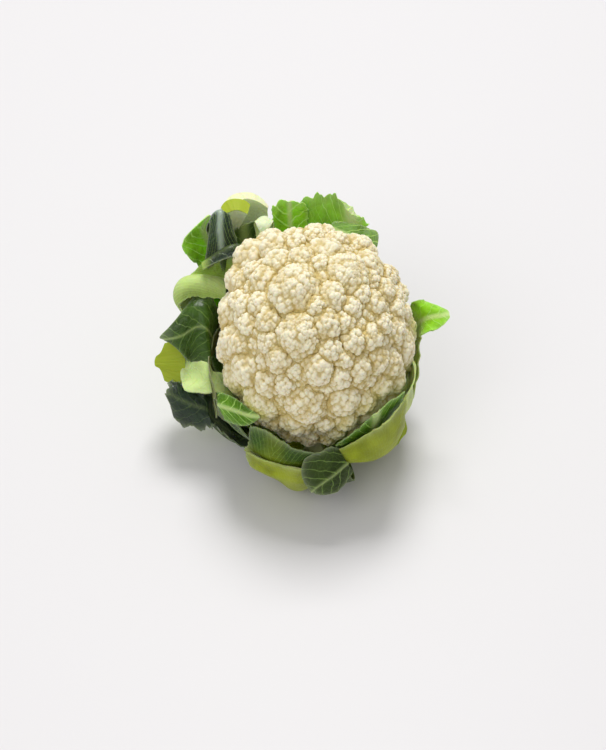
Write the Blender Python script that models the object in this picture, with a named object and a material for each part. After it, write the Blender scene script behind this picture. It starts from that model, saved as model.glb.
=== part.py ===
"""A fresh cauliflower: one curd of many florets on a cut stem, inside rings of trimmed wrapper leaves.

The plant stands on its cut stem, with the stem's cut face centred on the origin and +Z up. Lengths in the
tables are millimetres and angles are degrees; a leaf's azimuth is counted counter-clockwise from +X as seen
from above, so -90 is the front. Everything above the stem leans a little towards +Y, as the real head does.
"""

import math

import bmesh
import bpy
import numpy as np

MM = 0.001

# ---- the head ----
LEAN = 0.16              # how far the plant leans towards +Y for each unit of height
CURD_CENTRE_Z = 96.0     # height of the middle of the curd
CURD_RADIUS = 74.0       # from that middle to the tops of the florets
CORE_RADIUS = 64.0       # the solid curd between the florets
CURD_FOOT_Z = 36.4       # flat underside, where the curd's stalk meets the stem
FLORET_SWELL = 1.12      # a floret's ball is this much larger than its share of the surface
LOWEST_FLORET = -46.0    # florets stop at this latitude, and the stalk shows below it
GOLDEN_ANGLE = math.pi * (3.0 - math.sqrt(5.0))
CURD_DETAIL = 5          # subdivisions of the ball that the curd is shaped from

CURD_DETAIL = 5          # subdivisions of the ball that the curd is shaped from

# ---- the stem ----
STEM_RADIUS = 20.9
STEM_TOP_Z = 36.0
STEM_BEVEL = 1.2
STEM_SIDES = 40

# ---- the leaves ----
BLADE = 1.2              # thickness of a leaf blade away from its rib
CUP_RADIUS = 80.0        # how tightly the free part of a leaf cups across its width
STATIONS_PER_STEP = 2    # cross-sections between two points of a leaf's path
RIB_HALF_WIDTH = 7.0     # how far a rib's swelling spreads to each side
RIB_HALF_WIDTH = 7.0     # how far a rib's swelling spreads to each side
ACROSS = (-1.0, -0.62, -0.26, 0.0, 0.26, 0.62, 1.0)

# Florets seen on the upper front of the head: longitude, latitude, radius.
FLORETS = (
    (112, 50, 12), (87, 50, 14), (173, 65, 10), (180, 81, 9), (-64, 83, 7), 
    (172, 38, 10), (-168, 55, 10), (-122, 64, 17), (-175, 21, 11), (-149, 45, 8), (-147, 32, 8),
    (-146, 20, 9), (-171, -4, 8), (-131, 41, 9), (-125, 31, 8), (-104, 40, 14), (-138, 8, 12),
    (-115, 24, 9), (-126, -10, 14), (-103, 19, 6), (-96, -2, 14), (-89, 21, 11), (-80, 32, 8),
    (-71, 25, 7), (-75, 15, 8), (-73, -1, 11), (-81, 46, 10), (-65, 45, 7), (-62, 33, 9), (-49, 31, 9),
    (-61, 17, 9), (-48, 17, 9), (-69, 61, 10), (-26, 68, 15), (-12, 54, 8), (45, 48, 14), (-2, 31, 8),
    (24, 29, 10), (-30, 45, 9), (-54, 51, 7), (-23, 22, 9), (0, 18, 7), (-32, -7, 10), (-60, -36, 11),
    (-84, -18, 7), (-96, -40, 10), (-120, -26, 9), (-111, -40, 9), (-58, -8, 9), (-46, -2, 9),
)
# Florets that stand out of the round of the head: longitude, latitude, radius, how far they stand out.
PROUD_FLORETS = ((146, 37, 13, 9), (130, 42, 11, 7), (141, 57, 11, 4), (160, 30, 10, 4))
FILLER_SIZES = (13.0, 9.5, 6.5)  # florets that close the rest of the head, the largest first
FILLER_TRIALS = 420

# Where the leaves of each ring run from the stem up to the widest part of the head, as (radius, height).
# Ring 0 is the outermost and lowest.
RINGS = (
    ((22.2, 10.0), (39.0, 9.5), (58.0, 15.0), (77.0, 35.0)),
    ((21.4, 18.0), (39.0, 17.5), (56.0, 24.0), (73.0, 43.0)),
    ((21.4, 25.0), (39.0, 25.0), (55.0, 32.5), (70.0, 50.0)),
    ((21.4, 32.0), (39.0, 32.5), (53.0, 40.0), (66.5, 56.0)),
)

# Each leaf is a chain of points from the stem outwards. The first ones follow the leaf's ring, at the
# azimuths in "ring_azimuths"; "beyond" goes on from there as (radius, height, azimuth). "left" and "right"
# are the half-widths at each point, seen from outside, "rib" the thickness over the midrib, and "free" how
# far the leaf has left the round of the head (0 hugs it, 1 is free of it). "turn" rolls the last point
# about the leaf's own path.
LEAVES = (
    dict(
        name="leaf_front", ring=0, ring_azimuths=(-112, -109, -104, -101),
        beyond=((80, 44, -100),),
        left=(8, 12, 20, 26, 16), right=(8, 11, 12, 12, 9),
        rib=(8, 8, 6.5, 5, 3), free=(0, 0, 0, 0, 0), turn=0,
    ),
    dict(
        name="leaf_front_flap", ring=0, ring_azimuths=(-62, -67, -76, -83),
        beyond=((82, 47, -85),),
        left=(8, 11, 10, 8, 4), right=(8, 12, 16, 17, 10),
        rib=(8, 8, 6, 4, 2), free=(0, 0, 0, 0, 0), turn=0,
    ),
    dict(
        name="leaf_right_low", ring=0, ring_azimuths=(-12, -12, -11),
        beyond=((67, 24, -10),),
        left=(8, 11, 18, 16), right=(8, 12, 20, 16),
        rib=(8, 8, 6, 4), free=(0, 0, 0, 0), turn=0,
    ),
    dict(
        name="leaf_back_right_low", ring=0, ring_azimuths=(38, 38, 37, 36),
        beyond=((88, 60, 36),),
        left=(8, 11, 18, 26, 22), right=(8, 12, 20, 26, 22),
        rib=(8, 8, 7, 5, 3), free=(0, 0, 0, 0, 0), turn=0,
    ),
    dict(
        name="leaf_back", ring=0, ring_azimuths=(90, 94, 99, 103),
        beyond=((96, 76, 108), (105, 112, 113), (110, 143, 116)),
        left=(8, 12, 18, 20, 17, 14, 13), right=(8, 12, 18, 20, 17, 14, 13),
        rib=(8, 8, 8, 8, 7, 6, 6), free=(0, 0, 0, 0, 0, 0.5, 1), turn=0,
    ),
    dict(
        name="leaf_back_left_outer", ring=0, ring_azimuths=(138, 138, 137, 136),
        beyond=((100, 75, 136), (110, 108, 139), (115, 136, 140)),
        left=(8, 12, 18, 22, 20, 14, 8), right=(8, 12, 18, 20, 16, 22, 12),
        rib=(8, 8, 8, 7, 5, 3, 1.5), free=(0, 0, 0, 0, 0, 0.5, 1), turn=0,
    ),
    dict(
        name="leaf_left_drooping", ring=0, ring_azimuths=(-164, -163, -161, -160),
        beyond=((92, 50, -161), (104, 61, -166), (113, 69, -173)),
        left=(8, 11, 14, 12, 8, 6, 4), right=(8, 11, 16, 20, 22, 26, 12),
        rib=(8, 8, 8, 6, 5, 4, 3), free=(0, 0, 0, 0.3, 0.7, 1, 1), turn=-55,
    ),
    dict(
        name="leaf_front_left", ring=1, ring_azimuths=(-130, -127, -121, -118),
        beyond=((80, 63, -115),),
        left=(7.5, 12, 20, 28, 26), right=(7.5, 12, 20, 30, 30),
        rib=(6, 6, 5.5, 4.5, 3), free=(0, 0, 0, 0, 0), turn=0,
    ),
    dict(
        name="leaf_right_blade", ring=1, ring_azimuths=(2, 6, 11, 14),
        beyond=((79, 68, 15), (85, 92, 13), (101, 106, 9)),
        left=(7.5, 12, 16, 18, 16, 14, 8), right=(7.5, 12, 18, 22, 22, 20, 5),
        rib=(6, 6.5, 6, 5, 4, 3, 1.5), free=(0, 0, 0, 0, 0.2, 0.6, 1), turn=0,
    ),
    dict(
        name="leaf_back_right", ring=1, ring_azimuths=(50, 56, 64, 70),
        beyond=((88, 72, 73), (98, 106, 74), (104, 133, 75)),
        left=(7.5, 12, 16, 14, 9, 7, 6), right=(7.5, 12, 16, 18, 18, 26, 30),
        rib=(6, 6.5, 7, 8, 9, 10, 12), free=(0, 0, 0, 0, 0.2, 0.6, 1), turn=0,
    ),
    dict(
        name="leaf_back_left_rib", ring=1, ring_azimuths=(98, 104, 111, 116),
        beyond=((87, 84, 121), (96, 118, 126), (99, 140, 130), (91, 149, 131)),
        left=(7.5, 12, 14, 12, 9, 8, 7, 7), right=(7.5, 12, 14, 12, 9, 8, 7, 7),
        rib=(6, 6.5, 7, 7, 7, 8, 9, 9), free=(0, 0, 0, 0, 0.3, 1, 1, 1), turn=0,
    ),
    dict(
        name="leaf_left_arched", ring=1, ring_azimuths=(148, 149, 150, 152),
        beyond=((87, 76, 154), (97, 98, 157), (93, 108, 157), (79, 106, 154)),
        left=(7.5, 12, 13, 12, 10, 14, 18, 16), right=(7.5, 12, 13, 12, 9, 8, 7, 7),
        rib=(6, 6.5, 7, 7, 8, 9, 9, 9), free=(0, 0, 0, 0, 0.3, 1, 1, 1), turn=0,
    ),
    dict(
        name="leaf_left_cut", ring=1, ring_azimuths=(-171, -173, -176, -178),
        beyond=((92, 60, 180), (103, 72, -179), (108, 82, -176)),
        left=(7.5, 11, 13, 12, 12, 12, 12), right=(7.5, 11, 13, 12, 12, 12, 12),
        rib=(6, 6.5, 8, 10, 12, 14, 15), free=(0, 0, 0, 0, 0.5, 1, 1), turn=0,
    ),
    dict(
        name="leaf_front_right", ring=2, ring_azimuths=(-62, -57, -49, -43),
        beyond=((77, 66, -40),),
        left=(7, 12, 20, 26, 18), right=(7, 12, 19, 26, 24),
        rib=(5, 5.5, 5.5, 4.5, 3), free=(0, 0, 0, 0, 0), turn=0,
    ),
    dict(
        name="leaf_left_front_low", ring=2, ring_azimuths=(-150, -150, -150, -150),
        beyond=((78, 68, -150),),
        left=(7, 11, 15, 17, 12), right=(7, 11, 15, 19, 16),
        rib=(5, 5.5, 5, 4, 2), free=(0, 0, 0, 0, 0), turn=0,
    ),
    dict(
        name="leaf_left", ring=2, ring_azimuths=(168, 167, 166, 165),
        beyond=((80, 76, 165), (88, 92, 168), (103, 94, 171), (117, 83, 174)),
        left=(7, 11, 15, 16, 13, 10, 9, 3), right=(7, 11, 15, 15, 11, 11, 11, 3),
        rib=(5, 5.5, 5, 5, 4, 3, 3, 1.5), free=(0, 0, 0, 0, 0.3, 1, 1, 1), turn=0,
    ),
    dict(
        name="leaf_back_left_folded", ring=2, ring_azimuths=(125, 126, 128, 130),
        beyond=(
            (83, 84, 133), (92, 114, 137), (96, 140, 140), (89, 150, 143), (81, 138, 145), (79, 122, 147),
        ),
        left=(7, 11, 14, 15, 12, 8, 8, 8, 8, 4), right=(7, 11, 14, 15, 13, 9, 9, 9, 8, 4),
        rib=(5, 5.5, 5, 4, 3, 3, 3, 3, 3, 2), free=(0, 0, 0, 0, 0.2, 1, 1, 1, 1, 1), turn=0,
    ),
    dict(
        name="leaf_back_blade", ring=2, ring_azimuths=(78, 83, 89, 94),
        beyond=((83, 82, 97), (90, 115, 101), (98, 143, 103)),
        left=(7, 11, 15, 17, 16, 14, 12), right=(7, 11, 15, 17, 16, 14, 12),
        rib=(5, 5.5, 5, 4, 3, 3, 2), free=(0, 0, 0, 0, 0.2, 0.6, 1), turn=0,
    ),
    dict(
        name="leaf_back_right_small", ring=2, ring_azimuths=(30, 37, 46, 54),
        beyond=((79, 78, 60), (85, 100, 64), (94, 117, 65), (102, 122, 63)),
        left=(7, 11, 14, 15, 14, 12, 10, 6), right=(7, 11, 14, 15, 14, 12, 8, 3),
        rib=(5, 5.5, 5, 4, 4, 3, 2, 2), free=(0, 0, 0, 0, 0.2, 0.6, 1, 1), turn=0,
    ),
    dict(
        name="leaf_right", ring=2, ring_azimuths=(-18, -16, -13, -10),
        beyond=((76, 74, -7), (80, 94, -5), (85, 109, -3)),
        left=(7, 11, 14, 14, 12, 10, 10), right=(7, 11, 14, 14, 12, 11, 11),
        rib=(5, 5.5, 6, 5, 6, 8, 8), free=(0, 0, 0, 0, 0.2, 0.6, 1), turn=0,
    ),
    dict(
        name="leaf_inner_right", ring=3, ring_azimuths=(-52, -52, -51, -50),
        beyond=((76, 74, -49),),
        left=(7, 12, 18, 24, 20), right=(7, 12, 18, 24, 22),
        rib=(4, 4.5, 4, 3, 1.5), free=(0, 0, 0, 0, 0), turn=0,
    ),
    dict(
        name="leaf_inner_left", ring=3, ring_azimuths=(-150, -150, -150, -149),
        beyond=((75.5, 74, -143), (78.5, 88, -128), (79, 92, -116)),
        left=(5.5, 8.5, 10.5, 11.5, 10, 8, 2), right=(5.5, 8.5, 11, 12, 10, 9, 3),
        rib=(4, 4.5, 4, 3, 2.5, 2, 1.5), free=(0, 0, 0, 0, 0, 0, 0.4), turn=0,
    ),
    dict(
        name="leaf_left_stub", ring=3, ring_azimuths=(178, 180, -178, -176),
        beyond=((81, 70, -174), (93, 80, -172), (89, 87, -168), (80, 87, -164)),
        left=(5.5, 8.5, 12, 12, 10, 10, 12, 11), right=(5.5, 8.5, 11, 12, 11, 12, 12, 12),
        rib=(4, 4.5, 5, 5, 5, 5, 5, 4), free=(0, 0, 0, 0, 0.3, 1, 1, 1), turn=0,
    ),
    dict(
        name="leaf_inner_back", ring=3, ring_azimuths=(118, 118, 118, 117),
        beyond=((78.5, 88, 117), (81, 112, 118), (80, 130, 119), (73, 138, 120)),
        left=(7, 10, 12, 12, 12, 10, 9, 4), right=(7, 10, 12, 12, 12, 10, 9, 4),
        rib=(4, 4.5, 4, 3, 3, 3, 2, 1.5), free=(0, 0, 0, 0, 0, 0, 0.5, 1), turn=0,
    ),
    dict(
        name="leaf_inner_back_right", ring=3, ring_azimuths=(80, 83, 87, 90),
        beyond=((78.5, 88, 92), (80, 110, 95), (79, 127, 97)),
        left=(7, 10, 14, 18, 20, 20, 18), right=(7, 10, 14, 18, 18, 16, 14),
        rib=(4, 4.5, 4, 3, 3, 3, 2.5), free=(0, 0, 0, 0, 0, 0, 0), turn=0,
    ),
)

# ---- colours: name, base colour, roughness ----
CURD_FINISH = ("curd", (0.86, 0.80, 0.66), 0.7)
STEM_FINISH = ("stem_flesh", (0.72, 0.74, 0.52), 0.6)
OUTER_LEAF_FINISH = ("outer_leaf", (0.20, 0.36, 0.10), 0.5)
INNER_LEAF_FINISH = ("inner_leaf", (0.36, 0.52, 0.14), 0.5)


def clear_scene():
    for obj in list(bpy.data.objects):
        bpy.data.objects.remove(obj, do_unlink=True)


def finish(spec):
    """The material of one finish, made once."""
    name, colour, roughness = spec
    material = bpy.data.materials.get(name)
    if material is None:
        material = bpy.data.materials.new(name)
        material.use_nodes = True
        shader = material.node_tree.nodes["Principled BSDF"]
        shader.inputs["Base Color"].default_value = (*colour, 1.0)
        shader.inputs["Roughness"].default_value = roughness
    return material


def leaned(points):
    """Points in millimetres as the leaning plant holds them, in metres."""
    points = np.array(points, float)
    points[:, 1] += LEAN * points[:, 2]
    return points * MM


def add_object(name, points, faces, spec):
    mesh = bpy.data.meshes.new(name)
    mesh.from_pydata(leaned(points).tolist(), [], faces)
    mesh.materials.append(finish(spec))
    mesh.shade_smooth()
    obj = bpy.data.objects.new(name, mesh)
    bpy.context.scene.collection.objects.link(obj)
    return obj


# ---------------------------------------------------------------- the curd


def direction(longitude, latitude):
    lon, lat = math.radians(longitude), math.radians(latitude)
    return np.array([math.cos(lat) * math.cos(lon), math.cos(lat) * math.sin(lon), math.sin(lat)])


def floret_layout():
    """Directions, radii and extra heights: the placed florets, then fillers where the head is bare."""
    placed = [(lon, lat, radius, 0.0) for lon, lat, radius in FLORETS] + list(PROUD_FLORETS)
    directions = [direction(lon, lat) for lon, lat, _, _ in placed]
    radii = [float(radius) for _, _, radius, _ in placed]
    proud = [float(height) for _, _, _, height in placed]
    for size in FILLER_SIZES:
        for i in range(FILLER_TRIALS):
            z = 1.0 - 2.0 * (i + 0.5) / FILLER_TRIALS
            if z < math.sin(math.radians(LOWEST_FLORET)):
                break
            ring = math.sqrt(1.0 - z * z)
            trial = np.array([ring * math.cos(i * GOLDEN_ANGLE), ring * math.sin(i * GOLDEN_ANGLE), z])
            gaps = np.degrees(np.arccos(np.clip(np.array(directions) @ trial, -1.0, 1.0)))
            needed = np.degrees((np.array(radii) + size) / CURD_RADIUS) * 0.86
            if (gaps > needed).all():
                directions.append(trial)
                radii.append(size)
                proud.append(0.0)
    return np.array(directions), np.array(radii), np.array(proud)


def star_of_balls(rays, centres, radii):
    """How far each ray from the origin goes before it leaves the last ball that it meets."""
    along = rays @ centres.T
    room = along**2 - ((centres**2).sum(1) - radii**2)
    reach = np.where(room > 0, along + np.sqrt(np.maximum(room, 0.0)), 0.0)
    return reach.max(axis=1)


def build_curd():
    """The curd as balls seen from its middle: the florets, the core, and a stalk that narrows to the stem."""
    directions, sizes, proud = floret_layout()
    balls = sizes * FLORET_SWELL
    floret_centres = directions * (CURD_RADIUS + proud - balls)[:, None]
    stalk = ((0.0, CORE_RADIUS), (-18.0, 50.0), (-32.0, 36.0), (-44.0, 24.0), (-54.0, 18.0), (-66.0, 17.5))
    stalk_centres = np.array([(0.0, 0.0, z) for z, _ in stalk])
    centres = np.vstack([floret_centres, stalk_centres])
    radii = np.concatenate([balls, [r for _, r in stalk]])

    shape = bmesh.new()
    bmesh.ops.create_icosphere(shape, subdivisions=CURD_DETAIL, radius=1.0)
    rays = np.array([v.co.normalized() for v in shape.verts])
    reach = star_of_balls(rays, centres, radii)
    foot = CURD_FOOT_Z - CURD_CENTRE_Z
    down = np.minimum(rays[:, 2], -1e-6)
    reach = np.minimum(reach, np.where(rays[:, 2] < 0, foot / down, np.inf))
    points = rays * reach[:, None] + np.array([0.0, 0.0, CURD_CENTRE_Z])
    faces = [[v.index for v in f.verts] for f in shape.faces]
    shape.free()
    return add_object("curd", points, faces, CURD_FINISH)


def build_stem():
    """The cut stem: a short pillar with a flat cut face below and a flat top under the curd."""
    profile = (
        (STEM_RADIUS - STEM_BEVEL, 0.0),
        (STEM_RADIUS, STEM_BEVEL),
        (STEM_RADIUS, STEM_TOP_Z - STEM_BEVEL),
        (STEM_RADIUS - STEM_BEVEL, STEM_TOP_Z),
    )
    points, faces = [], []
    for radius, height in profile:
        for i in range(STEM_SIDES):
            angle = 2 * math.pi * i / STEM_SIDES
            points.append((radius * math.cos(angle), radius * math.sin(angle), height))
    for level in range(len(profile) - 1):
        for i in range(STEM_SIDES):
            j = (i + 1) % STEM_SIDES
            low, high = level * STEM_SIDES, (level + 1) * STEM_SIDES
            faces.append((low + i, low + j, high + j, high + i))
    faces.append(tuple(reversed(range(STEM_SIDES))))
    faces.append(tuple(range(3 * STEM_SIDES, 4 * STEM_SIDES)))
    return add_object("stem", points, faces, STEM_FINISH)


# ---------------------------------------------------------------- the leaves


def through(values, count):
    """count rows on a smooth Catmull-Rom curve through the rows of values."""
    values = np.array(values, float)
    padded = np.vstack([2 * values[0] - values[1], values, 2 * values[-1] - values[-2]])
    rows = []
    for t in np.linspace(0.0, len(values) - 1.0, count):
        i = min(int(t), len(values) - 2)
        f = t - i
        a, b, c, d = padded[i : i + 4]
        curve = (c - a) * f + (2 * a - 5 * b + 4 * c - d) * f**2 + (3 * b - 3 * c + d - a) * f**3
        rows.append(b + 0.5 * curve)
    return np.array(rows)


def leaf_rows(leaf):
    """One row for each point of a leaf: radius, height, azimuth, left, right, rib, free and turn."""
    route = [(r, z, a) for (r, z), a in zip(RINGS[leaf["ring"]], leaf["ring_azimuths"])]
    route += leaf["beyond"]
    azimuths = np.degrees(np.unwrap(np.radians([a for _, _, a in route])))
    last = len(route) - 1
    return [
        (radius, height, azimuths[i], leaf["left"][i], leaf["right"][i], leaf["rib"][i], leaf["free"][i],
         leaf["turn"] * i / last)
        for i, (radius, height, _) in enumerate(route)
    ]


def leaf_surface(leaf, stations, across):
    """The inner face of a leaf as a grid of points, and the rib thickness over each."""
    rows = through(leaf_rows(leaf), stations)
    radius, height, azimuth = rows[:, 0], rows[:, 1], np.radians(rows[:, 2])
    spine = np.stack([radius * np.cos(azimuth), radius * np.sin(azimuth), height], 1)
    tangent = np.gradient(spine, axis=0)
    tangent /= np.linalg.norm(tangent, axis=1)[:, None]
    side = np.stack([-np.sin(azimuth), np.cos(azimuth), np.zeros(stations)], 1)
    side -= (side * tangent).sum(1)[:, None] * tangent
    side /= np.linalg.norm(side, axis=1)[:, None]
    outward = np.cross(side, tangent)
    roll = np.radians(rows[:, 7])[:, None]
    side, outward = side * np.cos(roll) - outward * np.sin(roll), outward * np.cos(roll) + side * np.sin(roll)

    grid = np.zeros((stations, len(across), 3))
    ribs = np.zeros((stations, len(across)))
    for k, share in enumerate(across):
        width = np.where(share < 0, rows[:, 3], rows[:, 4]) * share
        angle = azimuth + width / radius
        hugging = np.stack([radius * np.cos(angle), radius * np.sin(angle), height], 1)
        bend = (width / CUP_RADIUS)[:, None]
        freed = spine + CUP_RADIUS * (side * np.sin(bend) - outward * (1.0 - np.cos(bend)))
        free = np.clip(rows[:, 6], 0.0, 1.0)[:, None]
        grid[:, k] = hugging * (1.0 - free) + freed * free
        ribs[:, k] = BLADE + (rows[:, 5] - BLADE) * np.exp(-((width / RIB_HALF_WIDTH) ** 2))
    return grid, ribs


def build_leaf(leaf):
    """A closed leaf: its inner face, its outer face over the rib, and the rim that joins them."""
    stations = STATIONS_PER_STEP * (len(leaf["left"]) - 1) + 1
    inner, ribs = leaf_surface(leaf, stations, ACROSS)
    normal = np.cross(np.gradient(inner, axis=1), np.gradient(inner, axis=0))
    normal /= np.linalg.norm(normal, axis=2)[:, :, None]
    outer = inner + normal * ribs[:, :, None]
    outer[:, :, 2] = np.maximum(outer[:, :, 2], 0.0)
    columns = len(ACROSS)
    points = np.vstack([inner.reshape(-1, 3), outer.reshape(-1, 3)])
    offset = stations * columns
    faces = []
    for i in range(stations - 1):
        for k in range(columns - 1):
            a, b = i * columns + k, i * columns + k + 1
            c, d = b + columns, a + columns
            faces.append((a, d, c, b))
            faces.append((offset + a, offset + b, offset + c, offset + d))
    rim = list(range(columns))
    rim += [i * columns + columns - 1 for i in range(1, stations)]
    rim += [(stations - 1) * columns + k for k in range(columns - 2, -1, -1)]
    rim += [i * columns for i in range(stations - 2, 0, -1)]
    for a, b in zip(rim, rim[1:] + rim[:1]):
        faces.append((a, b, offset + b, offset + a))
    spec = INNER_LEAF_FINISH if leaf["ring"] == len(RINGS) - 1 else OUTER_LEAF_FINISH
    return add_object(leaf["name"], points, faces, spec)


def main():
    clear_scene()
    build_stem()
    build_curd()
    for leaf in LEAVES:
        build_leaf(leaf)


main()
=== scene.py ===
"""A fresh cauliflower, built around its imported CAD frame: its curd, its cut stem and its wrapper leaves.

Lengths in the tables are millimetres and angles are degrees. A leaf's azimuth is counted counter-clockwise
from +X as seen from above, so -90 is the front. Above the stem, everything leans a little towards +Y.
"""

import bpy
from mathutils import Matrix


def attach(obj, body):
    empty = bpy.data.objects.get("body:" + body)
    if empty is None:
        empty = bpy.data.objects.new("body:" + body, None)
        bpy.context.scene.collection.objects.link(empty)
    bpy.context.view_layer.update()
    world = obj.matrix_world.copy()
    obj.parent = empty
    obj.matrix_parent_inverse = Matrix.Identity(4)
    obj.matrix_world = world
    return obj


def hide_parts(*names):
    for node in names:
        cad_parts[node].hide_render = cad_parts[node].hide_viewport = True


bl_info = {
    "name": "Cauliflower",
    "version": (1, 0, 0),
    "blender": (4, 5, 0),
    "location": "View3D > Sidebar > Cauliflower",
    "description": "Models a fresh cauliflower with its florets, stem and wrapper leaves",
    "category": "Add Mesh",
}

import math

import bpy
import numpy as np

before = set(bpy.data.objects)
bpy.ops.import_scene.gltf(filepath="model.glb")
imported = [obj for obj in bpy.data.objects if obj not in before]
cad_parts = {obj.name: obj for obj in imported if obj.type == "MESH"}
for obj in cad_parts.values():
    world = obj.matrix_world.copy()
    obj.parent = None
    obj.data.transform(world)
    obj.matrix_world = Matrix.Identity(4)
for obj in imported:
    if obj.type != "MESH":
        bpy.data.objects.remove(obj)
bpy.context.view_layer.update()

MM = 0.001
LEAN = 0.16
GOLDEN_ANGLE = math.pi * (3.0 - math.sqrt(5.0))

# ---- the curd, as the CAD part lays it out ----
CURD_CENTRE_Z = 96.0
CURD_RADIUS = 74.0
CURD_FOOT_Z = 36.4
FLORET_SWELL = 1.26
LOWEST_FLORET = -46.0
FLORETS = (
    (112, 50, 12), (87, 50, 14), (173, 65, 10), (180, 81, 9), (-64, 83, 7),
    (172, 38, 10), (-168, 55, 10), (-122, 64, 17), (-175, 21, 11), (-149, 45, 8), (-147, 32, 8),
    (-146, 20, 9), (-171, -4, 8), (-131, 41, 9), (-125, 31, 8), (-104, 40, 14), (-138, 8, 12),
    (-115, 24, 9), (-126, -10, 14), (-103, 19, 6), (-96, -2, 14), (-89, 21, 11), (-80, 32, 8),
    (-71, 25, 7), (-75, 15, 8), (-73, -1, 11), (-81, 46, 10), (-65, 45, 7), (-62, 33, 9), (-49, 31, 9),
    (-61, 17, 9), (-48, 17, 9), (-69, 61, 10), (-26, 68, 15), (-12, 54, 8), (45, 48, 14), (-2, 31, 8),
    (24, 29, 10), (-30, 45, 9), (-54, 51, 7), (-23, 22, 9), (0, 18, 7), (-32, -7, 10), (-60, -36, 11),
    (-84, -18, 7), (-96, -40, 10), (-120, -26, 9), (-111, -40, 9), (-58, -8, 9), (-46, -2, 9),
)
PROUD_FLORETS = ((146, 37, 13, 9), (130, 42, 11, 7), (141, 57, 11, 4), (160, 30, 10, 4))
TYPICAL_FLORET = 9.5      # a larger floret than this stands proud, and a smaller one lies low
PROUD_WITH_SIZE = 0.65
FILLER_SIZES = (13.0, 9.5, 6.5)
FILLER_SPACING = 0.86     # how close a filler may come to another floret, 1 being side by side
CLOSER_SIZES = (8.0, 6.0)    # small florets that close what gaps are left
CLOSER_CLEARANCE = 0.2    # the share of its radius that a closer's centre keeps off another floret
CLOSER_DEPTH = 5.0
FILLER_TRIALS = 420
FINE_BALL = 17.5          # a ball over this radius gets the finer mesh
LUMPY_BALL = 10.5         # a ball over this radius has lumps of its own
CREASE_SHADE_WIDTH = 1.2        # how far the painted tan shade reaches from the line where two florets meet
LEAF_SHADE_START = 3.0         # the painted green leaf shade on the curd is full up to this far from a leaf
LEAF_SHADE_FADE = 6.0          # and it fades to a third over this much more
STALK = ((0.0, 66.0), (-18.0, 50.0), (-32.0, 36.0), (-44.0, 24.0), (-54.0, 18.0), (-66.0, 17.5))
CURD_PARTS = (
    ("curd_crown", (0.0, 0.0, 1.0)), ("curd_crown_front", (-0.3, -0.8, 0.75)),
    ("curd_front", (0.1, -1.0, 0.0)), ("curd_front_left", (-0.8, -0.7, 0.1)),
    ("curd_front_right", (0.8, -0.7, 0.1)), ("curd_right", (1.0, 0.1, 0.35)),
    ("curd_left", (-1.0, 0.1, 0.35)), ("curd_back", (0.0, 1.0, 0.45)), ("curd_back_low", (0.2, 1.0, -0.4)),
)

# ---- the stem ----
STEM_RADIUS = 20.9
STEM_TOP_Z = 36.0

# ---- the leaves ----
RINGS = (
    ((22.2, 10.0), (39.0, 9.5), (58.0, 15.0), (77.0, 35.0)),
    ((21.4, 18.0), (39.0, 17.5), (56.0, 24.0), (73.0, 43.0)),
    ((21.4, 25.0), (39.0, 25.0), (55.0, 32.5), (70.0, 50.0)),
    ((21.4, 32.0), (39.0, 32.5), (53.0, 40.0), (66.5, 56.0)),
)


def around(radius, height, azimuth):
    """A place given around the leaning axis, in millimetres, as (x, y, z)."""
    angle = math.radians(azimuth)
    return (radius * math.cos(angle), radius * math.sin(angle) + LEAN * height, height)


def span(*places):
    """A row across a leaf, each place given around the leaning axis as (radius, height, azimuth)."""
    return tuple(around(*place) for place in places)


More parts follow.
